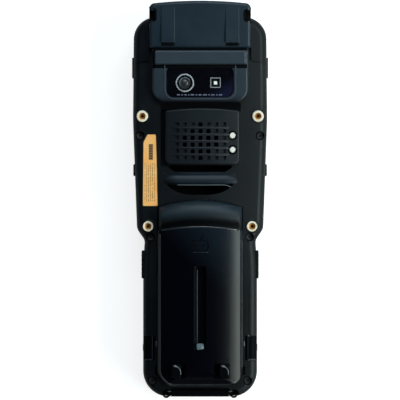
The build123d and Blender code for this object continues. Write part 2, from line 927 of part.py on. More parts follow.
def grille_plan():
    arch = ThreePointArc(
        (grille_left, grille_top - grille_sag), ((grille_left + grille_right) / 2, grille_top),
        (grille_right, grille_top - grille_sag)
    )
    sides = Polyline(
        (grille_right, grille_top - grille_sag), (grille_right, grille_bottom), (grille_left, grille_bottom),
        (grille_left, grille_top - grille_sag)
    )
    face = make_face([*arch.edges(), *sides.edges()])
    face = fillet(face.vertices().group_by(Axis.Y)[0], grille_corner)
    return fillet(face.vertices().group_by(Axis.Y)[-1], 1.0)


def speaker_grille():
    top = back_z + grille_rise
    platform = slab(grille_plan(), back_z, top)
    platform = fillet(top_edges(platform), grille_round)
    rows = len(grille_open)
    cuts = []
    for row in range(rows):
        y = grille_center_y + ((rows - 1) / 2 - row) * grille_pitch_y
        for column in range(grille_columns):
            step = column - (grille_columns - 1) / 2
            x = grille_center_x + step * grille_pitch_x
            through = abs(step) <= (grille_open[row] - 1) / 2
            depth = grille_rise + 1 if through else grille_hole_depth
            hole = RectangleRounded(grille_hole, grille_hole, 0.5)
            cuts.append(slab(Pos(x, y) * hole, top - depth, top + 1))
    platform -= cuts
    platform -= pin_rods(pin_well_radius, top - 1.2, top + 1)
    platform -= pin_rods(pin_radius + 0.05, back_z - 1, top + 1)
    return platform


def speaker_driver():
    top = back_z - ceiling
    cone = rod(grille_center_x, grille_center_y, speaker_radius, top - speaker_depth, top)
    cone -= Pos(grille_center_x, grille_center_y, top) * Cone(2.5, speaker_radius - 1.2, 2.0)
    return cone + rod(grille_center_x, grille_center_y, 3.2, top - speaker_depth - 1, top - speaker_depth + 1)


def threaded_inserts():
    low = back_z - insert_length + 0.3
    high = back_z + insert_proud
    inserts = []
    for x, y in insert_places():
        body = rod(x, y, insert_radius, low, high)
        body = chamfer(top_edges(body), 0.3)
        body -= rod(x, y, insert_bore, low - 1, high + 1)
        body -= Pos(x, y, high - 0.2) * Cone(insert_bore, insert_bore + 0.4, 0.41)
        inserts.append(body)
    return inserts


def case_screws():
    seat = back_z - counterbore_depth
    screws = []
    for x, y in screw_places():
        head = rod(x, y, screw_head_radius, seat, seat + screw_head_height)
        head = fillet(top_edges(head), 0.5)
        for turn in (0, 90):
            head -= Pos(x, y, seat + screw_head_height) * Rot(0, 0, turn + 20) * Box(screw_recess, 0.55, 1.6)
        screws.append(head + rod(x, y, screw_radius, face_in_z + 0.8, seat + 0.2))
    return screws


def back_label():
    right = label_left + label_width
    corners = [
        (label_left + 2.3, label_top),
        (label_left + 6.4, label_top),
        (right - 0.5, label_top - 10.3),
        (right, label_bottom),
        (label_left, label_bottom),
        (label_left + 0.3, label_top - 4.0),
    ]
    outline = FilletPolyline(*corners, radius=0.6, close=True)
    return slab(make_face(outline), back_z, back_z + label_thickness)


def strap_bar(fit=0.0):
    half = strap_half_width + strap_bar_seat + fit
    high = back_z + strap_bar_rise
    low = high - strap_bar_height - strap_bar_rise + 0.4
    bar = cuboid(-half, half, strap_bar_bottom - fit, strap_bar_top + fit, low - fit, high + fit)
    bar = fillet(bar.edges().filter_by(Axis.X).group_by(Axis.Z)[-1], 2.6)
    bar = fillet(bar.edges().filter_by(Axis.X).group_by(Axis.Z)[0], 1.2)
    return bar


def socket_block(grow=0.0):
    y = body_end + port_cover_from_end
    outer = grip_half_width - cover_thickness - cover_gap
    return cuboid(
        outer - socket_depth - grow, outer + grow, y - socket_length / 2 - grow, y + socket_length / 2 + grow,
        socket_low_z - grow, socket_low_z + socket_height + grow
    )


def side_sockets():
    y = body_end + port_cover_from_end
    outer = grip_half_width - cover_thickness - cover_gap
    block = socket_block()
    middle = socket_low_z + socket_height / 2
    block -= cuboid(outer - 2, outer + 1, y - 3.45, y + 3.45, middle - 0.9, middle + 0.9)
    return [block, mirrored(block)]


def cradle_block(grow=0.0):
    outer = body_end + cover_thickness + cover_gap
    return cuboid(
        -cradle_half_width - grow, cradle_half_width + grow, outer - grow, outer + cradle_depth + grow,
        face_in_z + 1.2 - grow, face_in_z + 1.2 + cradle_height + grow
    )


def cradle_connector():
    outer = body_end + cover_thickness + cover_gap
    block = cradle_block()
    for i in range(6):
        x = (i - 2.5) * 2.4
        block -= cuboid(x - 0.6, x + 0.6, outer - 1, outer + 0.8, face_in_z + 2.2, face_in_z + 4.8)
    return block


def contact_places():
    return [(i - (contact_count - 1) / 2) * contact_pitch for i in range(contact_count)]


def bay_contact_block(grow=0.0, front=0.0):
    half = contact_block_half_width + grow
    y = bay_top - contact_setback
    return cuboid(-half, half, y - front, y + contact_block_depth + grow,
                  pack_z + contact_block_low - grow, pack_z + contact_block_high + grow)


def bay_contacts():
    y = bay_top - contact_setback
    block = bay_contact_block()
    for x in contact_places():
        block -= cuboid(x - 1.1, x + 1.1, y - 1, y + 0.5, pack_z + contact_slot_low, pack_z + contact_slot_high)
        block += cuboid(x - 0.6, x + 0.6, y, y + 0.9, pack_z + contact_slot_low - 0.2,
                        pack_z + contact_slot_high + 0.2)
    return block


# Battery pack

def pack_plan(inset=0.0):
    return bay_face(pack_clearance + inset)


def dome_plan(inset=0.0):
    half = grip_half_width - grip_margin - pack_clearance - inset
    top = dome_top - inset
    arch = ThreePointArc((-half, top - dome_top_sag), (0, top), (half, top - dome_top_sag))
    low = bay_end + pack_clearance + inset
    sides = Polyline((half, top - dome_top_sag), (half, low), (-half, low), (-half, top - dome_top_sag))
    face = make_face([*arch.edges(), *sides.edges()])
    return fillet(face.vertices().group_by(Axis.Y)[0], pack_corner - pack_clearance - inset)


def arch_section(high, inset, y0, y1):
    """Solid under an arched roof that runs along Y."""
    half = grip_half_width - grip_margin - pack_clearance - inset
    top = high - inset
    radius = dome_radius - inset
    eaves = top - radius + sqrt(radius**2 - half**2)
    roof = ThreePointArc((-half, eaves), (0, top), (half, eaves))
    sides = Polyline((half, eaves), (half, pack_z - 5), (-half, pack_z - 5), (-half, eaves))
    face = make_face([*roof.edges(), *sides.edges()])
    face = fillet(face.vertices().group_by(Axis.Y)[-1], 2.4 - inset)
    section = extrude(Plane.XZ * face, amount=y1 - y0, dir=(0, 1, 0))
    return Pos(0, y0, 0) * section


def end_slope(inset=0.0):
    """What the rounded lower end of the dome gives up."""
    y = pack_end + inset
    z = crown_z - inset
    curve = Spline((y - 2, z - 8.5), (y + 3.2, z - 1.9), (y + 9.5, z), tangents=[(0.35, 1), (1, 0)])
    rest = Polyline((y + 9.5, z), (y + 9.5, z + 3), (y - 2, z + 3), (y - 2, z - 8.5))
    face = make_face([*curve.edges(), *rest.edges()])
    cut = extrude(Plane.YZ * face, amount=80, dir=(1, 0, 0))
    return Pos(-40, 0, 0) * cut


def roll_form(inset=0.0):
    """Rounded roll and valley at the top of the pack, swept about a far centre."""
    half = grip_half_width - grip_margin - pack_clearance
    turn_radius = (half * half + bay_top_sag * bay_top_sag) / (2 * bay_top_sag)
    top = pack_top - inset
    edge_z = back_z + 0.6 - inset
    points = [(top, edge_z), (top - 3.6, roll_z - inset), (top - 8.6, valley_z - inset), (top - 15.5, valley_z - inset)]
    surface = Spline(*points, tangents=[(-0.2, 1), (-1, 0)])
    rest = Polyline(points[-1], (top - 15.5, pack_z - 5), (top, pack_z - 5), points[0])
    face = Plane.YZ * make_face([*surface.edges(), *rest.edges()])
    centre = Axis((0, pack_top - turn_radius, 0), (0, 0, 1))
    sweep_angle = 56
    form = revolve(face, axis=centre, revolution_arc=sweep_angle / 2)
    form += revolve(face, axis=centre, revolution_arc=-sweep_angle / 2)
    limit = arch_section(roll_z + 0.9, inset, pack_top - 25, pack_top + 1)
    return form & limit


def pack_form(inset=0.0):
    """Closed outer form of the pack, drawn in by inset."""
    low = pack_z + inset
    dome = slab(dome_plan(inset), low, crown_z + 5)
    dome &= arch_section(crown_z, inset, pack_end - 5, pack_top + 5)
    dome -= end_slope(inset)
    roll = slab(pack_plan(inset), low, crown_z + 5) & roll_form(inset)
    return dome + roll


def channel_cut(grow=0.0):
    y0 = channel_top
    y1 = channel_top - channel_length
    floor = crown_z - channel_depth - grow
    half = channel_half_width + grow
    low_half = channel_floor_half_width + grow
    face = make_face(
        Polyline((-low_half, floor), (low_half, floor), (half, crown_z + 1), (-half, crown_z + 1), close=True)
    )
    cut = extrude(Plane.XZ * face, amount=channel_length + 2 * grow, dir=(0, -1, 0))
    cut = Pos(0, y0 + grow, 0) * cut
    ramp = make_face(
        Polyline((y1 - grow, crown_z + 1), (y1 - grow, floor), (y1 + channel_ramp - grow, floor), close=True)
    )
    ramp = Pos(-20, 0, 0) * extrude(Plane.YZ * ramp, amount=40, dir=(1, 0, 0))
    return cut - ramp


def latch_pocket(grow=0.0):
    z = pocket_floor_z() - grow
    half_x = latch_width / 2 + latch_clearance + grow
    half_y = latch_length / 2 + latch_clearance + grow
    return cuboid(
        latch_x - half_x - latch_travel, latch_x + half_x, latch_y - half_y, latch_y + half_y, z, crown_z + 5
    )


def pocket_floor_z():
    return crown_z - latch_pocket_drop - latch_pocket_depth


def roof_z(x, inset):
    """Height of the dome over x, drawn in by inset."""
    radius = dome_radius - inset
    return crown_z - inset - radius + sqrt(radius**2 - x**2)


def latch_slots():
    """Slots of one latch: its stem through the pocket floor and its tooth through the side."""
    half = latch_bar_width / 2 + latch_clearance
    gap = latch_clearance
    stem = cuboid(
        latch_x - latch_stem_half - gap - latch_travel, latch_x + latch_stem_half + gap,
        latch_y - half, latch_y + half, cell_z, crown_z
    )
    side = grip_half_width - grip_margin
    tooth = cuboid(
        side - 6, side + 2, latch_y - half, latch_y + half, tooth_z() - gap, tooth_z() + tooth_height + gap
    )
    return stem + tooth


def tooth_z():
    return back_z - 0.5 - tooth_height


def battery_latch():
    """Thumb piece, stem, plate and tooth of the right latch."""
    floor = pocket_floor_z()
    half_x = latch_width / 2
    half_y = latch_length / 2
    thumb = cuboid(
        latch_x - half_x, latch_x + half_x, latch_y - half_y, latch_y + half_y, floor + 0.2, crown_z - 0.6
    )
    thumb = fillet(thumb.edges().filter_by(Axis.Z), 1.2)
    thumb = fillet(top_edges(thumb), 0.8)
    half = latch_bar_width / 2
    inner = latch_x - latch_stem_half
    stem = cuboid(inner, latch_x + latch_stem_half, latch_y - half, latch_y + half, floor - 2.4, floor + 0.4)
    inner_side = grip_half_width - grip_margin - pack_clearance - cover_wall
    bar_end = inner_side - latch_bar_room
    plate_top = min(floor - cover_wall - latch_plate_gap, roof_z(bar_end, cover_wall) - pack_clearance)
    bar = cuboid(inner, bar_end, latch_y - half, latch_y + half, tooth_z(), plate_top)
    side = grip_half_width - grip_margin
    tooth = cuboid(bar_end - 1, side + tooth_reach, latch_y - half, latch_y + half, tooth_z(),
                   tooth_z() + tooth_height)
    return thumb + stem + bar + tooth


def battery_cover():
    cover = pack_form() & cuboid(-60, 60, pack_end - 5, pack_top + 5, pack_split_z, crown_z + 5)
    hollow = pack_form(cover_wall) & cuboid(-60, 60, pack_end - 5, pack_top + 5, pack_split_z - 1, crown_z + 5)
    hollow -= channel_cut(cover_wall * 0.8)
    pocket_keep = latch_pocket(cover_wall)
    hollow -= both_sides(pocket_keep)
    cover -= hollow
    cover -= channel_cut()
    cover -= both_sides(latch_pocket())
    cover -= both_sides(latch_slots())
    return cover


def battery_tray():
    tray = slab(pack_plan(), pack_z, pack_split_z)
    tray = fillet(bottom_edges(tray), 1.0)
    tray -= slab(pack_plan(tray_wall), pack_z + tray_wall, pack_split_z + 1)
    for x in contact_places():
        tray -= cuboid(x - 1.0, x + 1.0, pack_top - 3, pack_top + 1,
                       pack_z + contact_slot_low, pack_z + contact_slot_high)
    return tray


def battery_contacts():
    low = pack_z + contact_slot_low + 0.05
    high = pack_z + contact_slot_high - 0.05
    return [cuboid(x - 0.95, x + 0.95, pack_top - 1.6, pack_top - contact_setback, low, high)
            for x in contact_places()]


def battery_cells():
    cells = []
    body_top = cell_top - cell_nub
    for x in (-cell_spacing / 2, cell_spacing / 2):
        can = Cylinder(cell_diameter / 2, body_top - cell_end)
        cell = Pos(x, (body_top + cell_end) / 2, cell_z) * Rot(90, 0, 0) * can
        nub = Pos(x, cell_top - cell_nub / 2, cell_z) * Rot(90, 0, 0) * Cylinder(2.8, cell_nub)
        cells.append(cell + nub)
    return cells


# Front face pieces

def number_key_places():
    places = {}
    for row in range(4):
        for column in range(3):
            x = (1 - column) * number_key_pitch_x
            places[f"key_{row * 3 + column + 1:02d}"] = (x, number_key_y - row * number_key_pitch_y)
    return places


def front_key_faces():
    faces = {}
    faces["scan_key"] = Pos(0, scan_key_y, 0) * RectangleRounded(2 * scan_key_half_width, 9.0, 4.4)
    faces["nav_key"] = Pos(0, nav_key_y, 0) * Circle(nav_key_radius)
    for name, (x, y) in number_key_places().items():
        faces[name] = Pos(x, y, 0) * RectangleRounded(number_key_width, number_key_height, 2.4)
    return faces


def front_key(name):
    face = front_key_faces()[name]
    body = slab(face, key_face_z, key_face_z + key_height)
    body = fillet(bottom_edges(body), 0.5)
    if name == "nav_key":
        centre = Pos(0, nav_key_y, 0)
        ring = centre * (Circle(nav_key_bore + 0.4) - Circle(nav_key_bore))
        body -= slab(ring, key_face_z - 1, key_face_z + 0.7)
    flange_z = face_in_z + 0.1
    flange = slab(offset(face, amount=front_key_flange + key_gap, kind=Kind.ARC), flange_z, key_face_z + key_height)
    return body + flange


def display_window():
    glass = slab(plate(display_half_width, display_bottom, display_top, display_corner), face_recess - 0.2,
                 face_recess + display_glass)
    return fillet(bottom_edges(glass), 0.3)


def display_module():
    z = face_in_z + 0.05
    return cuboid(-display_half_width + 1.3, display_half_width - 1.3, display_bottom + 1.2, display_top - 2.6,
                  z, z + display_depth)


def earpiece():
    y = earpiece_slot_y
    return cuboid(-7.5, 7.5, y - 1.9, y + 0.9, face_in_z, face_in_z + 2.8)


def screw_clear(z0, z1):
    return rods_at(screw_places(), screw_boss + 0.3, z0, z1)


def main_board():
    z1 = main_board_z + main_board_thickness
    board = slab(body_face(wall + 4), main_board_z, z1)
    board &= cuboid(-60, 60, main_board_bottom, main_board_top, main_board_z, z1)
    board -= screw_clear(main_board_z - 1, z1 + 1)
    chip = cuboid(-9, 9, 30, 48, z1, z1 + 1.4)
    board += chip
    board += cuboid(10, 20, 8, 20, z1, z1 + 1.0)
    return board


def backup_cell():
    z = main_board_z + main_board_thickness
    return fillet(rod(-14, 12, 6.25, z, z + 2.0).edges(), 0.3)


def keypad_board():
    z0 = key_face_z + key_height + key_board_gap
    z1 = z0 + key_board_thickness
    board = slab(body_face(wall + 1.0), z0, z1)
    board &= cuboid(-60, 60, body_end + 8.2, 5.5, z0, z1)
    board -= screw_clear(z0 - 1, z1 + 1)
    for face in front_key_faces().values():
        x, y, _ = face.center()
        board += rod(x, y, 2.5, z0 - 0.25, z0 + 0.1)
    return board


def nodes():
    shapes = {
        "front_housing": front_housing(),
        "rear_housing": rear_housing(),
        "housing_seal": housing_seal(),
        "top_bumper": top_bumper(),
        "top_cap": top_cap(),
        "scan_window": scan_window(),
        "scan_engine": scan_engine(),
        "visor_bar": visor_bar(),
        "camera_bezel": camera_bezel(),
        "camera_window": camera_window(),
        "lens_ring": lens_ring(),
        "camera_module": camera_module(),
        "flash_frame": flash_frame(),
        "flash_led": flash_led(),
        "speaker_grille": speaker_grille(),
        "speaker_driver": speaker_driver(),
        "contact_pins": contact_pins(),
        "threaded_inserts": threaded_inserts(),
        "case_screws": case_screws(),
        "back_label": back_label(),
        "strap_bar": strap_bar(),
        "strap_lugs": strap_lugs(),
        "hinge_pins": hinge_pins(),
        "side_sockets": side_sockets(),
        "cradle_connector": cradle_connector(),
        "bay_contacts": bay_contacts(),
        "display_window": display_window(),
        "display_module": display_module(),
        "earpiece": earpiece(),
        "main_board": main_board(),
        "backup_cell": backup_cell(),
        "keypad_board": keypad_board(),
        "battery_cover": battery_cover(),
        "battery_tray": battery_tray(),
        "battery_cells": battery_cells(),
        "battery_contacts": battery_contacts(),
    }
    pairs = {
        "battery_latch": battery_latch(),
        "side_key": side_key(),
        "grip_key": grip_key(),
        "port_cover": side_cover(),
    }
    for name, right in pairs.items():
        shapes[name + "_right"] = right
        shapes[name + "_left"] = mirrored(right)
    shapes["end_cover"] = end_cover()
    for name in front_key_faces():
        shapes[name] = front_key(name)
    return shapes


os.makedirs("parts", exist_ok=True)
for node, shape in nodes().items():
    if isinstance(shape, list):
        shape = Compound(children=shape)
    export_step(shape, f"parts/{node}.step")
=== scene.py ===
import json
from math import cos, pi, radians, sin, sqrt

import bmesh
import bpy
from mathutils import Matrix, Vector
from mathutils.bvhtree import BVHTree


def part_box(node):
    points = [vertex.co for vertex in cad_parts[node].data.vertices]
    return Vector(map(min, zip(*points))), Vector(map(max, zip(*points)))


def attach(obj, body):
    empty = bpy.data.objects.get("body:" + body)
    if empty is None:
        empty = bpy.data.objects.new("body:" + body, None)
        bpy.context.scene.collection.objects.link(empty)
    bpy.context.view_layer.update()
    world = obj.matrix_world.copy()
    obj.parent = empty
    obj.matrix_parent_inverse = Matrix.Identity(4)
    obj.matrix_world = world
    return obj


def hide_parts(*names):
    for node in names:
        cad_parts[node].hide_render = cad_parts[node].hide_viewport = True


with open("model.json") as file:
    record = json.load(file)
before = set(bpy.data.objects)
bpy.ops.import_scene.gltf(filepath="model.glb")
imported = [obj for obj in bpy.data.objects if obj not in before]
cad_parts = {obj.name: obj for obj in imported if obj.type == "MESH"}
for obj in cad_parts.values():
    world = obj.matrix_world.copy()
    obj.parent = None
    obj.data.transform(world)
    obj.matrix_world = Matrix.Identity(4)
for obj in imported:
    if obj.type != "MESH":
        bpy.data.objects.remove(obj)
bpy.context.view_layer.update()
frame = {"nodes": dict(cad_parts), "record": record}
nodes = frame["nodes"]
scene = bpy.context.scene
print("frame loaded:", len(nodes), "nodes")


def put(tree, kind, inputs=None, **settings):
    node = tree.nodes.new(kind)
    for key, value in settings.items():
        setattr(node, key, value)
    for key, value in (inputs or {}).items():
        if isinstance(value, bpy.types.NodeSocket):
            tree.links.new(value, node.inputs[key])
        else:
            node.inputs[key].default_value = value
    return node


def mathNode(tree, operation, a, b=0.0, c=0.0, clamp=False):
    return put(tree, "ShaderNodeMath", {0: a, 1: b, 2: c}, operation=operation, use_clamp=clamp).outputs[0]


def times(tree, a, b):
    return mathNode(tree, "MULTIPLY", a, b)


# First times factor, plus last
def addScaled(tree, first, factor, last, clamp=False):
    return mathNode(tree, "MULTIPLY_ADD", first, factor, last, clamp)


def ramp(tree, value, low, high, outLow=0.0, outHigh=1.0):
    node = put(tree, "ShaderNodeMapRange", {"Value": value, "From Min": low, "From Max": high,
                                            "To Min": outLow, "To Max": outHigh}, clamp=True)
    return node.outputs["Result"]


def blendColours(tree, amount, first, second):
    node = put(tree, "ShaderNodeMix", data_type="RGBA")
    for index, value in ((0, amount), (6, first), (7, second)):
        if isinstance(value, bpy.types.NodeSocket):
            tree.links.new(value, node.inputs[index])
        elif index:
            node.inputs[index].default_value = (*value, 1.0)
        else:
            node.inputs[index].default_value = value
    return node.outputs[2]


def objectPlace(tree):
    return put(tree, "ShaderNodeTexCoord").outputs["Object"]


def objectAxes(tree):
    place = put(tree, "ShaderNodeSeparateXYZ", {0: objectPlace(tree)})
    return place.outputs["X"], place.outputs["Y"]


def noise(tree, place, scale, detail, roughness=0.5):
    return put(tree, "ShaderNodeTexNoise", {"Vector": place, "Scale": scale, "Detail": detail,
                                            "Roughness": roughness}).outputs["Fac"]


def inBand(tree, value, low, high, soft):
    above = ramp(tree, value, low - soft, low + soft)
    below = ramp(tree, value, high + soft, high - soft)
    return times(tree, above, below)


def newGroup(name, inputs, outputs):
    group = bpy.data.node_groups.new(name, "ShaderNodeTree")
    for label, value in inputs.items():
        socket = group.interface.new_socket(label, in_out="INPUT", socket_type="NodeSocketFloat")
        socket.default_value = value
    for label in outputs:
        group.interface.new_socket(label, in_out="OUTPUT", socket_type="NodeSocketFloat")
    return group, group.nodes.new("NodeGroupInput"), group.nodes.new("NodeGroupOutput")


def useGroup(tree, group, **values):
    node = tree.nodes.new("ShaderNodeGroup")
    node.node_tree = group
    for label, value in values.items():
        node.inputs[label].default_value = value
    return node.outputs


# Fine mould texture, cloudy variation and sparse specks, shared by every material
grainLook = {"fine": (3.0, 0.6), "broad": (5.0, 0.62), "cloud": (0.32, 0.7), "speckScale": 1400.0,
             "speck": (0.66, 0.74)}


def makeGrain():
    group, entry, result = newGroup("mouldGrain", {"Grain": 2600.0, "Cloud": 60.0}, ["Height", "Cloud", "Speck"])
    place = objectPlace(group)
    grain = noise(group, place, entry.outputs["Grain"], *grainLook["fine"])
    cells = put(group, "ShaderNodeTexVoronoi", {"Vector": place, "Scale": entry.outputs["Grain"]},
                feature="SMOOTH_F1")
    cloud = noise(group, place, entry.outputs["Cloud"], *grainLook["broad"])
    speck = noise(group, place, grainLook["speckScale"], 1.0)
    group.links.new(mathNode(group, "ADD", grain, cells.outputs["Distance"]), result.inputs["Height"])
    group.links.new(ramp(group, cloud, *grainLook["cloud"]), result.inputs["Cloud"])
    group.links.new(ramp(group, speck, *grainLook["speck"]), result.inputs["Speck"])
    return group


# Where an edge is rubbed: the rounded normal leaves the true one
edgeLook = {"bend": (0.995, 0.86), "scuff": (4.0, 0.7), "broken": (0.36, 0.62, 0.25, 1.0)}


def makeEdge():
    group, entry, result = newGroup("edgeWear", {"Width": 0.0005, "Break": 260.0}, ["Mask"])
    rounded = put(group, "ShaderNodeBevel", {"Radius": entry.outputs["Width"]}, samples=6)
    flat = put(group, "ShaderNodeNewGeometry")
    match = put(group, "ShaderNodeVectorMath", {0: rounded.outputs["Normal"], 1: flat.outputs["Normal"]},
                operation="DOT_PRODUCT")
    bend = ramp(group, match.outputs["Value"], *edgeLook["bend"])
    scuff = noise(group, objectPlace(group), entry.outputs["Break"], *edgeLook["scuff"])
    group.links.new(times(group, bend, ramp(group, scuff, *edgeLook["broken"])), result.inputs["Mask"])
    return group


# Dust left in corners and gaps
dustLook = {"reach": 0.0022, "shut": (0.95, 0.45), "patch": (420.0, 5.0, 0.75), "broken": (0.42, 0.66)}


def makeDust():
    group, entry, result = newGroup("restingDust", {"Amount": 0.3}, ["Mask"])
    corner = put(group, "ShaderNodeAmbientOcclusion", {"Distance": dustLook["reach"]}, samples=6)
    shut = ramp(group, corner.outputs["AO"], *dustLook["shut"])
    patch = noise(group, objectPlace(group), *dustLook["patch"])
    dust = times(group, shut, ramp(group, patch, *dustLook["broken"]))
    group.links.new(times(group, dust, entry.outputs["Amount"]), result.inputs["Mask"])
    return group


grainGroup = makeGrain()
edgeGroup = makeEdge()
dustGroup = makeDust()
materials = {}


def newMaterial(name):
    material = bpy.data.materials.new(name)
    material.use_nodes = True
    tree = material.node_tree
    materials[name] = material
    return tree, tree.nodes["Principled BSDF"]


# Plain values that a look may set on the shader's own sockets
plainSockets = {"level": "Specular IOR Level", "metal": "Metallic", "coat": "Coat Weight",
                "coatRough": "Coat Roughness"}


# Every grained material: paint gives the tone and, where they aren't the usual ones, the roughness, what lifts
# the surface and the broad crown that the grain lies on
def makeMaterial(name, look, paint):
    tree, shader = newMaterial(name)
    for key, label in plainSockets.items():
        if key in look:
            shader.inputs[label].default_value = look[key]
    grain = useGroup(tree, grainGroup, Grain=look["grain"], Cloud=look["cloud"])
    rough = ramp(tree, grain["Cloud"], 0.0, 1.0, *look["rough"])
    made = {"rough": rough, "lift": grain["Height"], **paint(tree, look, grain, rough)}
    tree.links.new(made["tone"], shader.inputs["Base Color"])
    tree.links.new(made["rough"], shader.inputs["Roughness"])
    bump = put(tree, "ShaderNodeBump", {"Height": made["lift"], "Distance": look["height"]})
    if "crown" in made:
        tree.links.new(made["crown"], bump.inputs["Normal"])
    tree.links.new(bump.outputs["Normal"], shader.inputs["Normal"])


def rubbed(colour, gain, lift):
    return tuple(min(1.0, gain * c + lift) for c in colour)


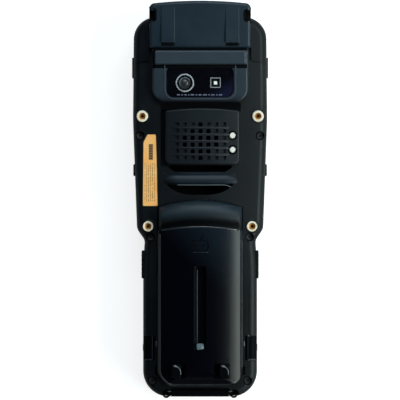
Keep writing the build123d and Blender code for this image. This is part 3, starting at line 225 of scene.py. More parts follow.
# Moulded plastics and rubbers; each look says what differs from the usual one. camber is how much the moulding
# crowns across, in slope per metre; ease lessens it toward the grip; shade is painted light and shade, a
# deeper tone below a line across the part that may slant or curve
plasticUsual = {"rough": (0.47, 0.53), "grain": 2600.0, "cloud": 55.0, "height": 0.00001, "edge": 0.1,
                "dust": 0.03, "level": 0.5, "rubWidth": 0.00045, "rubBreak": 300.0, "rubbed": (1.9, 0.004),
                "polish": -0.12, "dustTone": (0.06, 0.064, 0.068), "dustRough": 0.4}
plastics = {
    "housing": dict(deep=(0.001, 0.0024, 0.0044), light=(0.002, 0.004, 0.0066), grain=2300.0, height=0.000022,
                    edge=0.08, dust=0.05, level=0.25, camber=3.3, ease=(-0.048, -0.012, 0.42, 1.0)),
    "cap": dict(deep=(0.0072, 0.0165, 0.027), light=(0.0105, 0.0215, 0.0335), rough=(0.41, 0.47), grain=2300.0,
                height=0.000022, edge=0.2, dust=0.04, level=0.34, camber=2.2),
    "bumper": dict(deep=(0.001, 0.0026, 0.005), light=(0.002, 0.0042, 0.0072), grain=1700.0, height=0.000022,
                   edge=0.08, dust=0.06, level=0.21, camber=3.8),
    "visor": dict(deep=(0.024, 0.0345, 0.048), light=(0.03, 0.042, 0.057), rough=(0.39, 0.45),
                  height=0.000016, edge=0.25, level=0.36, camber=0.6),
    # bezel: shade darkens its lower margin, painted shade
    "bezel": dict(deep=(0.0165, 0.027, 0.0385), light=(0.0215, 0.0335, 0.046), rough=(0.39, 0.45),
                  height=0.000018, edge=0.25, dust=0.04, level=0.32, camber=1.6,
                  shade=dict(y=(0.0494, 0.0525), tone=(0.006, 0.0085, 0.014))),
    "grille": dict(deep=(0.0036, 0.0064, 0.0096), light=(0.0058, 0.009, 0.0126), rough=(0.41, 0.47),
                   height=0.000018, edge=0.25, dust=0.08, level=0.3, camber=5.0),
    # strap_bar: shade darkens its left end, painted shade
    "strap_bar": dict(deep=(0.0036, 0.0095, 0.0165), light=(0.0058, 0.0125, 0.0205), rough=(0.43, 0.49),
                      grain=2400.0, height=0.000016, edge=0.15, level=0.26, camber=3.5,
                      shade=dict(slant=1.0, y=(-0.0075, -0.001), tone=(0.0012, 0.0028, 0.0048))),
    # pack_cover: deep and light are a painted reflection near the top of the cover; shade takes it down to the
    # cover's black lower down and toward the left
    "pack_cover": dict(deep=(0.0055, 0.0095, 0.0155), light=(0.007, 0.0115, 0.018), rough=(0.24, 0.26),
                       grain=3000.0, height=0.0000025, edge=0.0, dust=0.02, level=0.175,
                       shade=dict(slant=0.9, y=(-0.036, -0.009), tone=(0.0004, 0.0008, 0.0025))),
    # The roll's bluish tone is a painted sheen; shade darkens it toward the valley, painted shade
    "rollPlastic": dict(deep=(0.005, 0.014, 0.022), light=(0.0072, 0.017, 0.0255), rough=(0.48, 0.52),
                        height=0.000006, edge=0.03, dust=0.02, level=0.34, camber=3.5,
                        shade=dict(curve=4.39, y=(-0.0106, -0.0058), tone=(0.0002, 0.0007, 0.0018))),
    "pack_tray": dict(deep=(0.003, 0.0045, 0.006), light=(0.0055, 0.0075, 0.0092), rough=(0.42, 0.5),
                      grain=2400.0, height=0.00002, edge=0.25, dust=0.05),
    "latch": dict(deep=(0.0002, 0.0005, 0.0016), light=(0.0005, 0.0009, 0.0022), rough=(0.48, 0.52),
                  height=0.000006, edge=0.0, dust=0.04, level=0.06),
    "rubber_key": dict(deep=(0.0006, 0.0014, 0.0026), light=(0.0014, 0.0026, 0.004), rough=(0.56, 0.64),
                       grain=1500.0, height=0.000025, edge=0.25, dust=0.12, level=0.15),
    "port_cover": dict(deep=(0.0004, 0.001, 0.002), light=(0.001, 0.0018, 0.003), rough=(0.53, 0.59),
                       grain=1500.0, height=0.000025, edge=0.15, dust=0.08, level=0.05),
    "seal": dict(deep=(0.002, 0.002, 0.0024), light=(0.0036, 0.0036, 0.004), rough=(0.7, 0.8),
                 grain=1500.0, height=0.00003, dust=0.1, level=0.2),
    "connector": dict(deep=(0.006, 0.006, 0.0065), light=(0.009, 0.009, 0.0095), rough=(0.45, 0.55),
                      height=0.00002, edge=0.3, dust=0.2),
    "module": dict(deep=(0.02, 0.022, 0.024), light=(0.034, 0.037, 0.04), rough=(0.37, 0.47), grain=2000.0,
                   edge=0.3, dust=0.0),
    "speaker": dict(deep=(0.002, 0.002, 0.0022), light=(0.004, 0.004, 0.0044), rough=(0.75, 0.85),
                    grain=900.0, height=0.00006, dust=0.2, level=0.2),
    "front_key": dict(deep=(0.026, 0.028, 0.031), light=(0.036, 0.039, 0.042), rough=(0.3, 0.38),
                      height=0.000012, edge=0.3, dust=0.15),
    "scan_key": dict(deep=(0.42, 0.15, 0.014), light=(0.52, 0.2, 0.022), rough=(0.29, 0.37), height=0.000012,
                     edge=0.3, dust=0.15),
    # blackRubber: black for the lug grommets and the battery sign, and for the black pieces that are painted
    # shade and shadow in notches, gaps, the strap slot and round inserts and pins
    "blackRubber": dict(deep=(0.0003, 0.0004, 0.0012), light=(0.0007, 0.0008, 0.0018), rough=(0.7, 0.8),
                        grain=1500.0, height=0.00002, edge=0.05, dust=0.04, level=0.08),
    # channelStopPlastic: a pale tone for the channel stop, a painted highlight
    "channelStopPlastic": dict(deep=(0.07, 0.105, 0.13), light=(0.105, 0.145, 0.17), rough=(0.38, 0.46),
                               height=0.000012, dust=0.05),
    # paleMark: a pale tone for painted highlights on the lens barrel, the strap bar lip and the latch thumbs, and
    # for the pack guide nibs
    "paleMark": dict(deep=(0.1, 0.12, 0.14), light=(0.17, 0.19, 0.21), rough=(0.4, 0.5), dust=0.1, level=0.4),
    "dashPrint": dict(deep=(0.07, 0.08, 0.13), light=(0.16, 0.17, 0.23), rough=(0.45, 0.55), dust=0.1, level=0.3),
    "keyPrint": dict(deep=(0.62, 0.64, 0.66), light=(0.74, 0.76, 0.78), rough=(0.45, 0.55), height=0.000006,
                     dust=0.1, level=0.4),
    # edgeSheen and shinyEdge: lighter tones for beads that are painted highlight lines
    "edgeSheen": dict(deep=(0.012, 0.014, 0.0175), light=(0.016, 0.018, 0.0215), rough=(0.39, 0.45),
                      height=0.000006, edge=0.05, level=0.35),
    "shinyEdge": dict(deep=(0.013, 0.0175, 0.0235), light=(0.0185, 0.0235, 0.03), rough=(0.25, 0.31),
                      height=0.000004, edge=0.05, level=0.6),
}


def paintPlastic(tree, look, grain, rough):
    edge = useGroup(tree, edgeGroup, Width=look["rubWidth"], Break=look["rubBreak"])
    dust = useGroup(tree, dustGroup, Amount=look["dust"])["Mask"]
    tone = blendColours(tree, grain["Cloud"], look["deep"], look["light"])
    across, along = objectAxes(tree)
    squared = times(tree, across, across)
    # Painted light and shade: the tone turns deeper below a slanting or curving line across the part
    if "shade" in look:
        shade = {"slant": 0.0, "curve": 0.0, **look["shade"]}
        line = addScaled(tree, squared, shade["curve"], along)
        line = addScaled(tree, across, shade["slant"], line)
        tone = blendColours(tree, ramp(tree, line, *shade["y"]), shade["tone"], tone)
    wear = times(tree, edge["Mask"], look["edge"])
    tone = blendColours(tree, wear, tone, rubbed(look["light"], *look["rubbed"]))
    rough = addScaled(tree, dust, look["dustRough"], addScaled(tree, wear, look["polish"], rough), clamp=True)
    made = {"tone": blendColours(tree, dust, tone, look["dustTone"]), "rough": rough}
    if "camber" in look:
        bow = times(tree, squared, -look["camber"])
        if "ease" in look:
            bow = times(tree, bow, ramp(tree, along, *look["ease"]))
        made["crown"] = put(tree, "ShaderNodeBump", {"Height": bow, "Distance": 1.0}).outputs["Normal"]
    return made


for name, look in plastics.items():
    makeMaterial(name, {**plasticUsual, **look}, paintPlastic)

metalUsual = {"metal": 1.0, "grain": 2600.0, "cloud": 400.0, "rubWidth": 0.0002, "rubBreak": 900.0, "edge": 0.6,
              "rubbed": (1.15, 0.02), "height": 0.000008}
metals = {
    "insert": dict(deep=(0.92, 0.76, 0.54), light=(1.0, 0.92, 0.77), rough=(0.36, 0.5), metal=0.12),
    "gold": dict(deep=(0.93, 0.9, 0.78), light=(0.99, 0.98, 0.92), rough=(0.36, 0.5), metal=0.12),
    "amberBore": dict(deep=(0.3, 0.12, 0.02), light=(0.46, 0.2, 0.04), rough=(0.39, 0.53), metal=0.6),
    "screw": dict(deep=(0.07, 0.072, 0.08), light=(0.15, 0.155, 0.165), rough=(0.28, 0.42), metal=0.5),
    "lug": dict(deep=(0.003, 0.0034, 0.0042), light=(0.007, 0.0076, 0.0088), rough=(0.46, 0.6), metal=0.2,
                grain=2200.0),
    "pin": dict(deep=(0.3, 0.3, 0.31), light=(0.46, 0.46, 0.47), rough=(0.19, 0.33), grain=3000.0),
    "socket": dict(deep=(0.32, 0.32, 0.33), light=(0.5, 0.5, 0.51), rough=(0.24, 0.38)),
    "coin_cell": dict(deep=(0.45, 0.45, 0.45), light=(0.62, 0.62, 0.62), rough=(0.24, 0.38)),
}


def paintMetal(tree, look, grain, rough):
    edge = useGroup(tree, edgeGroup, Width=look["rubWidth"], Break=look["rubBreak"])
    tone = blendColours(tree, grain["Cloud"], look["deep"], look["light"])
    wear = times(tree, edge["Mask"], look["edge"])
    return {"tone": blendColours(tree, wear, tone, rubbed(look["light"], *look["rubbed"]))}


for name, look in metals.items():
    makeMaterial(name, {**metalUsual, **look}, paintMetal)

# Dark windows, lens and wrapped cells; glow is a painted reflection, a faint lighter corner of a window, along a
# leaning line
windowUsual = {"grain": 1800.0, "cloud": 90.0, "speck": 0.02, "speckTone": (0.3, 0.3, 0.3), "coatRough": 0.04,
               "height": 0.000002}
windows = {
    "window": dict(deep=(0.0004, 0.0007, 0.0022), light=(0.0012, 0.0018, 0.005), rough=(0.09, 0.17), coat=0.2,
                   glow=dict(lean=-0.62, y=(0.052, 0.0455), x=(0.0, 0.01), tone=(0.0075, 0.0085, 0.027))),
    "scan_glass": dict(deep=(0.03, 0.0015, 0.0015), light=(0.055, 0.003, 0.0025), rough=(0.06, 0.14), coat=0.8),
    "lens": dict(deep=(0.01, 0.011, 0.014), light=(0.03, 0.032, 0.037), rough=(0.3, 0.38), coat=0.25),
    "cell": dict(deep=(0.018, 0.075, 0.17), light=(0.026, 0.1, 0.22), rough=(0.22, 0.3), coat=0.2),
}


def paintWindow(tree, look, grain, rough):
    tone = blendColours(tree, grain["Cloud"], look["deep"], look["light"])
    tone = blendColours(tree, times(tree, grain["Speck"], look["speck"]), tone, look["speckTone"])
    # Painted reflection: a lighter corner of the window along a leaning line
    if "glow" in look:
        glow = look["glow"]
        x, y = objectAxes(tree)
        lit = ramp(tree, addScaled(tree, x, glow["lean"], y), *glow["y"])
        tone = blendColours(tree, times(tree, lit, ramp(tree, x, *glow["x"])), tone, glow["tone"])
    return {"tone": tone}


for name, look in windows.items():
    makeMaterial(name, {**windowUsual, **look}, paintWindow)

# A pale band on a black part, round for the lens and square for the flash
ringUsual = {"black": (0.002, 0.0024, 0.004), "soft": 0.00004, "grain": 2600.0, "cloud": 500.0,
             "rough": (0.3, 0.42), "height": 0.000005}
bandedRings = {
    "lens_ring": dict(centre=(-0.0076, 0.05835), band=(0.00395, 0.00475), square=False, pale=(0.3, 0.32, 0.34),
                      bright=(0.44, 0.46, 0.48)),
    "flash_frame": dict(centre=(0.0077, 0.05845), band=(0.00218, 0.00252), square=True, pale=(0.24, 0.26, 0.28),
                        bright=(0.36, 0.38, 0.4)),
    "flash": dict(centre=(0.0076, 0.0582), band=(-1.0, 0.00088), square=True, pale=(0.9, 0.9, 0.86),
                  bright=(0.98, 0.98, 0.96)),
}


def paintRing(tree, look, grain, rough):
    dx, dy = (mathNode(tree, "SUBTRACT", *pair) for pair in zip(objectAxes(tree), look["centre"]))
    if look["square"]:
        far = mathNode(tree, "MAXIMUM", mathNode(tree, "ABSOLUTE", dx), mathNode(tree, "ABSOLUTE", dy))
    else:
        far = mathNode(tree, "SQRT", mathNode(tree, "ADD", times(tree, dx, dx), times(tree, dy, dy)))
    steel = blendColours(tree, grain["Cloud"], look["pale"], look["bright"])
    return {"tone": blendColours(tree, inBand(tree, far, *look["band"], look["soft"]), look["black"], steel)}


for name, look in bandedRings.items():
    makeMaterial(name, {**ringUsual, **look}, paintRing)

displayLook = {"half": 0.0246, "y": (0.0118, 0.0778), "soft": 0.00006, "mask": (0.002, 0.0022, 0.0026),
               "panel": (0.009, 0.012, 0.014), "panelLight": (0.015, 0.019, 0.0215), "grain": 1800.0,
               "cloud": 40.0, "rough": (0.05, 0.13), "coat": 0.6, "coatRough": 0.04, "height": 0.0000015}


def paintDisplay(tree, look, grain, rough):
    x, y = objectAxes(tree)
    wide = inBand(tree, x, -look["half"], look["half"], look["soft"])
    tall = inBand(tree, y, *look["y"], look["soft"])
    panel = blendColours(tree, grain["Cloud"], look["panel"], look["panelLight"])
    return {"tone": blendColours(tree, times(tree, wide, tall), look["mask"], panel)}


makeMaterial("glass", displayLook, paintDisplay)

boardLook = {"deep": (0.008, 0.055, 0.022), "light": (0.014, 0.085, 0.034), "track": (0.035, 0.16, 0.07),
             "scale": 180.0, "mortar": 0.03, "share": 0.6, "grain": 1600.0, "cloud": 120.0, "rough": (0.3, 0.42),
             "height": 0.00003}


def paintBoard(tree, look, grain, rough):
    tracks = put(tree, "ShaderNodeTexBrick", {"Vector": objectPlace(tree), "Scale": look["scale"],
                                              "Mortar Size": look["mortar"]}).outputs["Fac"]
    tone = blendColours(tree, grain["Cloud"], look["deep"], look["light"])
    return {"tone": blendColours(tree, times(tree, tracks, look["share"]), tone, look["track"]), "lift": tracks}


makeMaterial("board", boardLook, paintBoard)

# Plain amber sticker: a dark bar block near its top and broken ruled lines down its length
labelLook = {"paper": (0.97, 0.425, 0.112), "pale": (1.0, 0.55, 0.2), "left": -0.0286, "grain": 1500.0,
             "cloud": 120.0, "rough": (0.34, 0.46), "height": 0.000005,
             "bar": (0.045, 0.028, 0.022), "barX": (0.00295, 0.005), "barY": (0.0199, 0.0278), "barSoft": 0.00006,
             "barPitch": 0.00042, "barGap": (0.00008, 0.00018, 0.55, 1.0),
             "ink": (0.22, 0.075, 0.022), "inked": 0.8, "lineX": (0.0009, 0.0066), "lineY": (-0.0008, 0.0182),
             "lineSoft": 0.00005, "linePitch": 0.00095, "lineWidth": (0.0002, 0.00012),
             "dashStretch": (520.0, 1500.0, 1.0), "dashGap": (0.4, 0.5)}


def paintLabel(tree, look, grain, rough):
    x, along = objectAxes(tree)
    across = mathNode(tree, "SUBTRACT", x, look["left"])
    tone = blendColours(tree, grain["Cloud"], look["paper"], look["pale"])
    lines = ramp(tree, mathNode(tree, "PINGPONG", across, look["linePitch"] / 2), *look["lineWidth"])
    stretch = put(tree, "ShaderNodeMapping", {"Vector": objectPlace(tree), "Scale": look["dashStretch"]})
    dash = noise(tree, stretch.outputs["Vector"], 1.0, 1.0)
    lines = times(tree, lines, ramp(tree, dash, *look["dashGap"]))
    field = times(tree, inBand(tree, across, *look["lineX"], look["lineSoft"]),
                  inBand(tree, along, *look["lineY"], look["lineSoft"]))
    tone = blendColours(tree, times(tree, times(tree, lines, field), look["inked"]), tone, look["ink"])
    block = times(tree, inBand(tree, across, *look["barX"], look["barSoft"]),
                  inBand(tree, along, *look["barY"], look["barSoft"]))
    bars = ramp(tree, mathNode(tree, "PINGPONG", along, look["barPitch"]), *look["barGap"])
    return {"tone": blendColours(tree, times(tree, block, bars), tone, look["bar"])}


makeMaterial("label", labelLook, paintLabel)

slotOfNode = {part["node"]: part["material_slot"] for part in frame["record"]["subparts"]}
for name, node in nodes.items():
    node.data.materials.clear()
    node.data.materials.append(materials[slotOfNode[name]])
print("materials:", len(materials))


# Camera straight above the back, far off, so that the view is nearly flat
cameraLook = {"distance": 2.4, "width": 0.2, "focusHeight": 0.024, "centre": (-0.00005, -0.00015), "sensor": 36.0,
              "clip": (0.1, 20.0)}


def makeCamera():
    look = cameraLook
    data = bpy.data.cameras.new("camera")
    data.sensor_width = look["sensor"]
    data.lens = data.sensor_width * look["distance"] / look["width"]
    data.clip_start, data.clip_end = look["clip"]
    camera = bpy.data.objects.new("camera", data)
    camera.location = (*look["centre"], look["focusHeight"] + look["distance"])
    scene.collection.objects.link(camera)
    scene.camera = camera


# White paper, clear from below and for the shadow of the light underneath
floorLook = {"tones": ((0.5, 0.5, 0.5), (0.54, 0.54, 0.54)), "rough": 0.9, "level": 0.1,
             "fibre": (900.0, 3.0), "fibreTone": (0.3, 0.7), "glow": (0.1, 0.8), "half": 4.0, "z": -0.00005}


def makeFloor():
    look = floorLook
    tree, shader = newMaterial("floorPaper")
    fibre = ramp(tree, noise(tree, objectPlace(tree), *look["fibre"]), *look["fibreTone"])
    tree.links.new(blendColours(tree, fibre, *look["tones"]), shader.inputs["Base Color"])
    shader.inputs["Roughness"].default_value = look["rough"]
    shader.inputs["Specular IOR Level"].default_value = look["level"]
    shader.inputs["Emission Color"].default_value = (1.0, 1.0, 1.0, 1.0)
    path = put(tree, "ShaderNodeLightPath")
    tree.links.new(ramp(tree, path.outputs["Is Camera Ray"], 0.0, 1.0, *look["glow"]),
                   shader.inputs["Emission Strength"])
    clear = put(tree, "ShaderNodeBsdfTransparent")
    side = put(tree, "ShaderNodeNewGeometry")
    passing = mathNode(tree, "MAXIMUM", side.outputs["Backfacing"], path.outputs["Is Shadow Ray"])
    mix = put(tree, "ShaderNodeMixShader", {0: passing, 1: shader.outputs[0], 2: clear.outputs[0]})
    tree.links.new(mix.outputs[0], tree.nodes["Material Output"].inputs["Surface"])
    mesh = bpy.data.meshes.new("floor")
    bm = bmesh.new()
    bmesh.ops.create_grid(bm, x_segments=2, y_segments=2, size=look["half"],
                          matrix=Matrix.Translation((0.0, 0.0, look["z"])))
    bm.to_mesh(mesh)
    bm.free()
    mesh.materials.append(materials["floorPaper"])
    floor = bpy.data.objects.new("floor", mesh)
    scene.collection.objects.link(floor)


# Softboxes, aimed at the middle of the object
softboxes = {
    "keyRight": dict(place=(0.84, -0.17, 0.71), size=(1.2, 0.28), power=12.5, colour=(0.87, 1.0, 0.94)),
    "boxTop": dict(place=(0.1, 0.85, 0.8), size=(0.9, 0.42), power=8.0, colour=(0.74, 0.9, 1.0)),
    "rimLeft": dict(place=(-0.95, 0.0, 0.4), size=(0.9, 0.14), power=0.1, colour=(0.8, 0.9, 1.0)),
    "fillFront": dict(place=(0.1, -1.3, 0.7), size=(0.8, 0.3), power=0.25, colour=(0.9, 0.95, 1.0)),
    "underside": dict(place=(0.25, 0.1, -1.0), size=(0.8, 0.8), power=12.0, colour=(0.95, 0.97, 1.0)),
}
lightAim = Vector((0.0, 0.0, 0.012))


def makeLights():
    for name, box in softboxes.items():
        data = bpy.data.lights.new(name, "AREA")
        data.shape = "RECTANGLE"
        data.size, data.size_y = box["size"]
        data.energy = box["power"]
        data.color = box["colour"]
        light = bpy.data.objects.new(name, data)
        light.location = box["place"]
        light.rotation_euler = (lightAim - light.location).to_track_quat("-Z", "Y").to_euler()
        scene.collection.objects.link(light)


# The studio round the object: a faint glow low on its right, plain white to the camera
worldLook = {"lowZ": (0.4, 0.1), "rightX": (-0.1, 0.6), "glow": 0.42, "least": 0.03, "seen": 1.0}


def makeWorld():
    look = worldLook
    world = bpy.data.worlds.new("studio")
    world.use_nodes = True
    tree = world.node_tree
    aim = put(tree, "ShaderNodeSeparateXYZ", {0: put(tree, "ShaderNodeTexCoord").outputs["Generated"]})
    lit = times(tree, ramp(tree, aim.outputs["Z"], *look["lowZ"]),
                ramp(tree, aim.outputs["X"], *look["rightX"]))
    glow = addScaled(tree, lit, look["glow"], look["least"])
    path = put(tree, "ShaderNodeLightPath")
    strength = put(tree, "ShaderNodeMix", {0: path.outputs["Is Camera Ray"], 2: glow, 3: look["seen"]},
                   data_type="FLOAT")
    tree.links.new(strength.outputs[0], tree.nodes["Background"].inputs["Strength"])
    tree.nodes["Background"].inputs["Color"].default_value = (1.0, 1.0, 1.0, 1.0)
    scene.world = world


scene.view_settings.view_transform = "Standard"
scene.view_settings.look = "None"
makeCamera()
makeFloor()
makeLights()
makeWorld()
print("camera, floor and lights ready")


# Tools for the small pieces
sides = (("right", 1), ("left", -1))
aboveAll = 0.06
skins = {}


def skinHeight(name, x, y):
    if name not in skins:
        mesh = nodes[name].data
        skins[name] = BVHTree.FromPolygons([v.co for v in mesh.vertices], [p.vertices for p in mesh.polygons])
    hit = skins[name].ray_cast(Vector((x, y, aboveAll)), Vector((0.0, 0.0, -1.0)))
    return hit[0].z if hit[0] else 0.0


def onSkin(name, row):
    return [(x, y, skinHeight(name, x, y)) for x, y in row]


def atHeight(row, z):
    return [(x, y, z) for x, y in row]


def spaced(low, high, steps):
    return [low + (high - low) * i / steps for i in range(steps + 1)]


def centred(middle, pitch, count):
    return [middle + (i - (count - 1) / 2) * pitch for i in range(count)]


def arcRow(centre, radius, start, stop, steps):
    turns = [radians(start + (stop - start) * i / steps) for i in range(steps + 1)]
    return [(centre[0] + radius * cos(a), centre[1] + radius * sin(a)) for a in turns]


def finishPiece(name, bm, body, slotName, material, smoothAngle=40.0):
    bmesh.ops.remove_doubles(bm, verts=bm.verts, dist=0.000002)
    bmesh.ops.recalc_face_normals(bm, faces=bm.faces)
    mesh = bpy.data.meshes.new(name)
    bm.to_mesh(mesh)
    bm.free()
    mesh.materials.append(materials[material])
    mesh.polygons.foreach_set("use_smooth", [True] * len(mesh.polygons))
    mesh.set_sharp_from_angle(angle=radians(smoothAngle))
    piece = bpy.data.objects.new(name, mesh)
    scene.collection.objects.link(piece)
    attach(piece, body)
    return piece


def bevelEdges(bm, edges, offset, segments):
    bmesh.ops.bevel(bm, geom=edges, offset=offset, offset_type="OFFSET", segments=segments, affect="EDGES",
                    profile=0.5, material=-1)


def roundedBlock(bm, low, high, corner, edge, cornerSegments, edgeSegments):
    before = set(bm.verts)
    centre = (Vector(low) + Vector(high)) / 2
    size = Vector(high) - Vector(low)
    place = Matrix.Translation(centre) @ Matrix.Diagonal((*size, 1.0))
    bmesh.ops.create_cube(bm, size=1.0, matrix=place)
    fresh = {e for v in bm.verts if v not in before for e in v.link_edges}
    upright = [e for e in fresh if abs(e.verts[0].co.z - e.verts[1].co.z) > 0.9 * size.z]
    bevelEdges(bm, upright, corner, cornerSegments)
    fresh = {e for v in bm.verts if v not in before for e in v.link_edges}
    top = [e for e in fresh if all(v.co.z > high[2] - 1e-7 for v in e.verts)]
    bevelEdges(bm, top, edge, edgeSegments)


# Corners of a block given for the right side, or of its mirror on the left
def sideBlock(side, low, high):
    x0, x1 = sorted((side * low[0], side * high[0]))
    return (x0, *low[1:]), (x1, *high[1:])


# A whole piece made of rounded blocks; home starts with the body it is fixed to
def blockPiece(name, home, material, blocks, rounding):
    bm = bmesh.new()
    for low, high in blocks:
        roundedBlock(bm, low, high, *rounding)
    finishPiece(name, bm, *home, material)


def beadFrame(points, index, radius, flat):
    ahead = points[min(index + 1, len(points) - 1)] - points[max(index - 1, 0)]
    ahead.normalize()
    helper = Vector((0.0, 0.0, 1.0)) if abs(ahead.z) < 0.9 else Vector((1.0, 0.0, 0.0))
    side = helper.cross(ahead).normalized()
    up = ahead.cross(side)
    turn = Matrix((side * radius, up * radius * flat, ahead * radius)).transposed().to_4x4()
    return Matrix.Translation(points[index]) @ turn


# A rounded ridge carried along a row of points, with narrowed ends or with a scale for each point
def addBead(bm, points, radius, flat=1.0, segments=10, scales=None):
    points = [Vector(p) for p in points]
    if scales is None:
        reach, narrow = 0.6, 0.4
        first = points[0] + (points[0] - points[1]).normalized() * radius * reach
        last = points[-1] + (points[-1] - points[-2]).normalized() * radius * reach
        points = [first, *points, last]
        scales = [narrow, *[1.0] * (len(points) - 2), narrow]
    places = [beadFrame(points, i, radius * scales[i], flat) for i in range(len(points))]
    ring = bmesh.ops.create_circle(bm, cap_ends=False, radius=1.0, segments=segments, matrix=places[0])["verts"]
    edges = list({e for v in ring for e in v.link_edges})
    bmesh.ops.contextual_create(bm, geom=edges)
    for i in range(1, len(points)):
        grown = bmesh.ops.extrude_edge_only(bm, edges=edges)["geom"]
        verts = [g for g in grown if isinstance(g, bmesh.types.BMVert)]
        edges = [g for g in grown if isinstance(g, bmesh.types.BMEdge) and all(v in verts for v in g.verts)]
        bmesh.ops.transform(bm, matrix=places[i] @ places[i - 1].inverted(), verts=verts)
    bmesh.ops.contextual_create(bm, geom=edges)


# A whole piece made of beads
def beadPiece(name, home, material, rows, *shape):
    bm = bmesh.new()
    for row in rows:
        addBead(bm, row, *shape)
    finishPiece(name, bm, *home, material)


# A thin ring turned about an upright axis; its section may be a slope
def addWasher(bm, centre, inner, outer, thick, segments=48):
    section = [(inner[0], inner[1] - thick), (outer[0], outer[1] - thick), outer, inner]
    verts = [bm.verts.new((centre[0] + r, centre[1], z)) for r, z in section]
    edges = [bm.edges.new((verts[i], verts[(i + 1) % 4])) for i in range(4)]
    bmesh.ops.spin(bm, geom=verts + edges, cent=(*centre, 0.0), axis=(0.0, 0.0, 1.0), angle=2 * pi,
                   steps=segments, use_merge=True, use_normal_flip=False, use_duplicate=False)


# Walls down from the open edges of a sheet, and a floor between them
def closeBelow(bm, footHeight):
    walls = bmesh.ops.extrude_edge_only(bm, edges=[e for e in bm.edges if e.is_boundary])["geom"]
    for v in walls:
        if isinstance(v, bmesh.types.BMVert):
            v.co.z = footHeight(v.co.x)
    bmesh.ops.holes_fill(bm, edges=[e for e in bm.edges if e.is_boundary])


# Scanner cap: black liners and lips in the side notches as painted shade, and black pads under the two ribs as
# painted shadow below the rib ends
capLook = {"notchX": (0.0223, 0.0252), "notchY": (0.0893, 0.0947), "floor": 0.0244, "top": 0.0274, "wall": 0.0005,
           "openEnd": 0.0007, "linerRound": (0.0001, 0.0001, 2, 2), "lipX": (0.02205, 0.0249),
           "lipY": {"right": (0.0891, 0.0949), "left": (0.0892, 0.0953)}, "lipCorner": 0.0009,
           "lipEnd": (0.02522, 0.0009), "lipBead": (0.00038, 0.3, 8),
           "pad": ((0.0128, 0.0768, 0.02755), (0.0194, 0.0782, 0.02775)), "padRound": (0.0006, 0.00008, 5, 2),
           "studs": 3, "stud": 0.0005, "studStretch": (1.3, 0.8, 0.5)}


def makeNotchShadeLiner(label, side):
    look = capLook
    x0, x1 = look["notchX"]
    y0, y1 = look["notchY"]
    floor, top, wall = look["floor"], look["top"], look["wall"]
    end = x1 - look["openEnd"]
    blocks = (((x0, y0, floor), (x1, y1, floor + wall)), ((x0, y0, floor), (x0 + wall, y1, top)),
              ((x0, y0, floor), (end, y0 + wall, top)), ((x0, y1 - wall, floor), (end, y1, top)))
    blockPiece("cap_notch_liner_" + label, ("root", "cap"), "blackRubber",
               [sideBlock(side, *block) for block in blocks], look["linerRound"])


def makeNotchShadeLip(label, side):
    look = capLook
    inner, outer = look["lipX"]
    low, high = look["lipY"][label]
    corner, middle = look["lipCorner"], (inner + outer) / 2
    endX, endY = look["lipEnd"]
    path = [(endX, high + endY), (outer, high), (middle, high),
            *arcRow((inner + corner, high - corner), corner, 90, 180, 6),
            *arcRow((inner + corner, low + corner), corner, 180, 270, 6),
            (middle, low), (outer, low), (endX, low - endY)]
    beadPiece("cap_notch_lip_" + label, ("root", "cap"), "blackRubber",
              [onSkin("top_cap", [(side * x, y) for x, y in path])], *look["lipBead"])


def makeRibShadowPad(label, side):
    look = capLook
    low, high = sideBlock(side, *look["pad"])
    bm = bmesh.new()
    roundedBlock(bm, low, high, *look["padRound"])
    for i in range(look["studs"]):
        x = low[0] + (i + 0.5) * (high[0] - low[0]) / look["studs"]
        place = Matrix.Translation((x, (low[1] + high[1]) / 2, high[2]))
        bmesh.ops.create_uvsphere(bm, u_segments=16, v_segments=10, radius=look["stud"],
                                  matrix=place @ Matrix.Diagonal((*look["studStretch"], 1.0)))
    finishPiece("rib_shadow_pad_" + label, bm, "root", "cap", "blackRubber")


def makeCapDetails():
    for label, side in sides:
        makeNotchShadeLiner(label, side)
        makeNotchShadeLip(label, side)
        makeRibShadowPad(label, side)


# Camera: raised rim round the window, a painted highlight arc and the glass inside the lens barrel, plain printed
# dashes
cameraFace = {"rimHalf": 0.01765, "rimBottom": 0.05025, "rimTop": 0.0672, "rimCorner": 0.0046,
              "rimBead": (0.00034, 0.8), "bezelTop": 0.0274, "lens": (-0.0076, 0.05835),
              "ring": dict(radius=0.0027, arc=(20, 205), z=0.02605, bead=(0.00018, 1.0, 8)),
              "glass": dict(radius=0.00185, z=0.02565, flat=0.42),
              "dashX": -0.0115, "dashGap": 0.00068, "dashY": (0.05205, 0.0527), "dashZ": (0.02665, 0.02674),
              "dashRound": (0.00015, 0.00002, 2, 1),
              "dashes": (0.0015, 0.0007, 0.0013, 0.0006, 0.0017, 0.0009, 0.0014, 0.0021, 0.0008, 0.0016, 0.0007,
                         0.0019)}


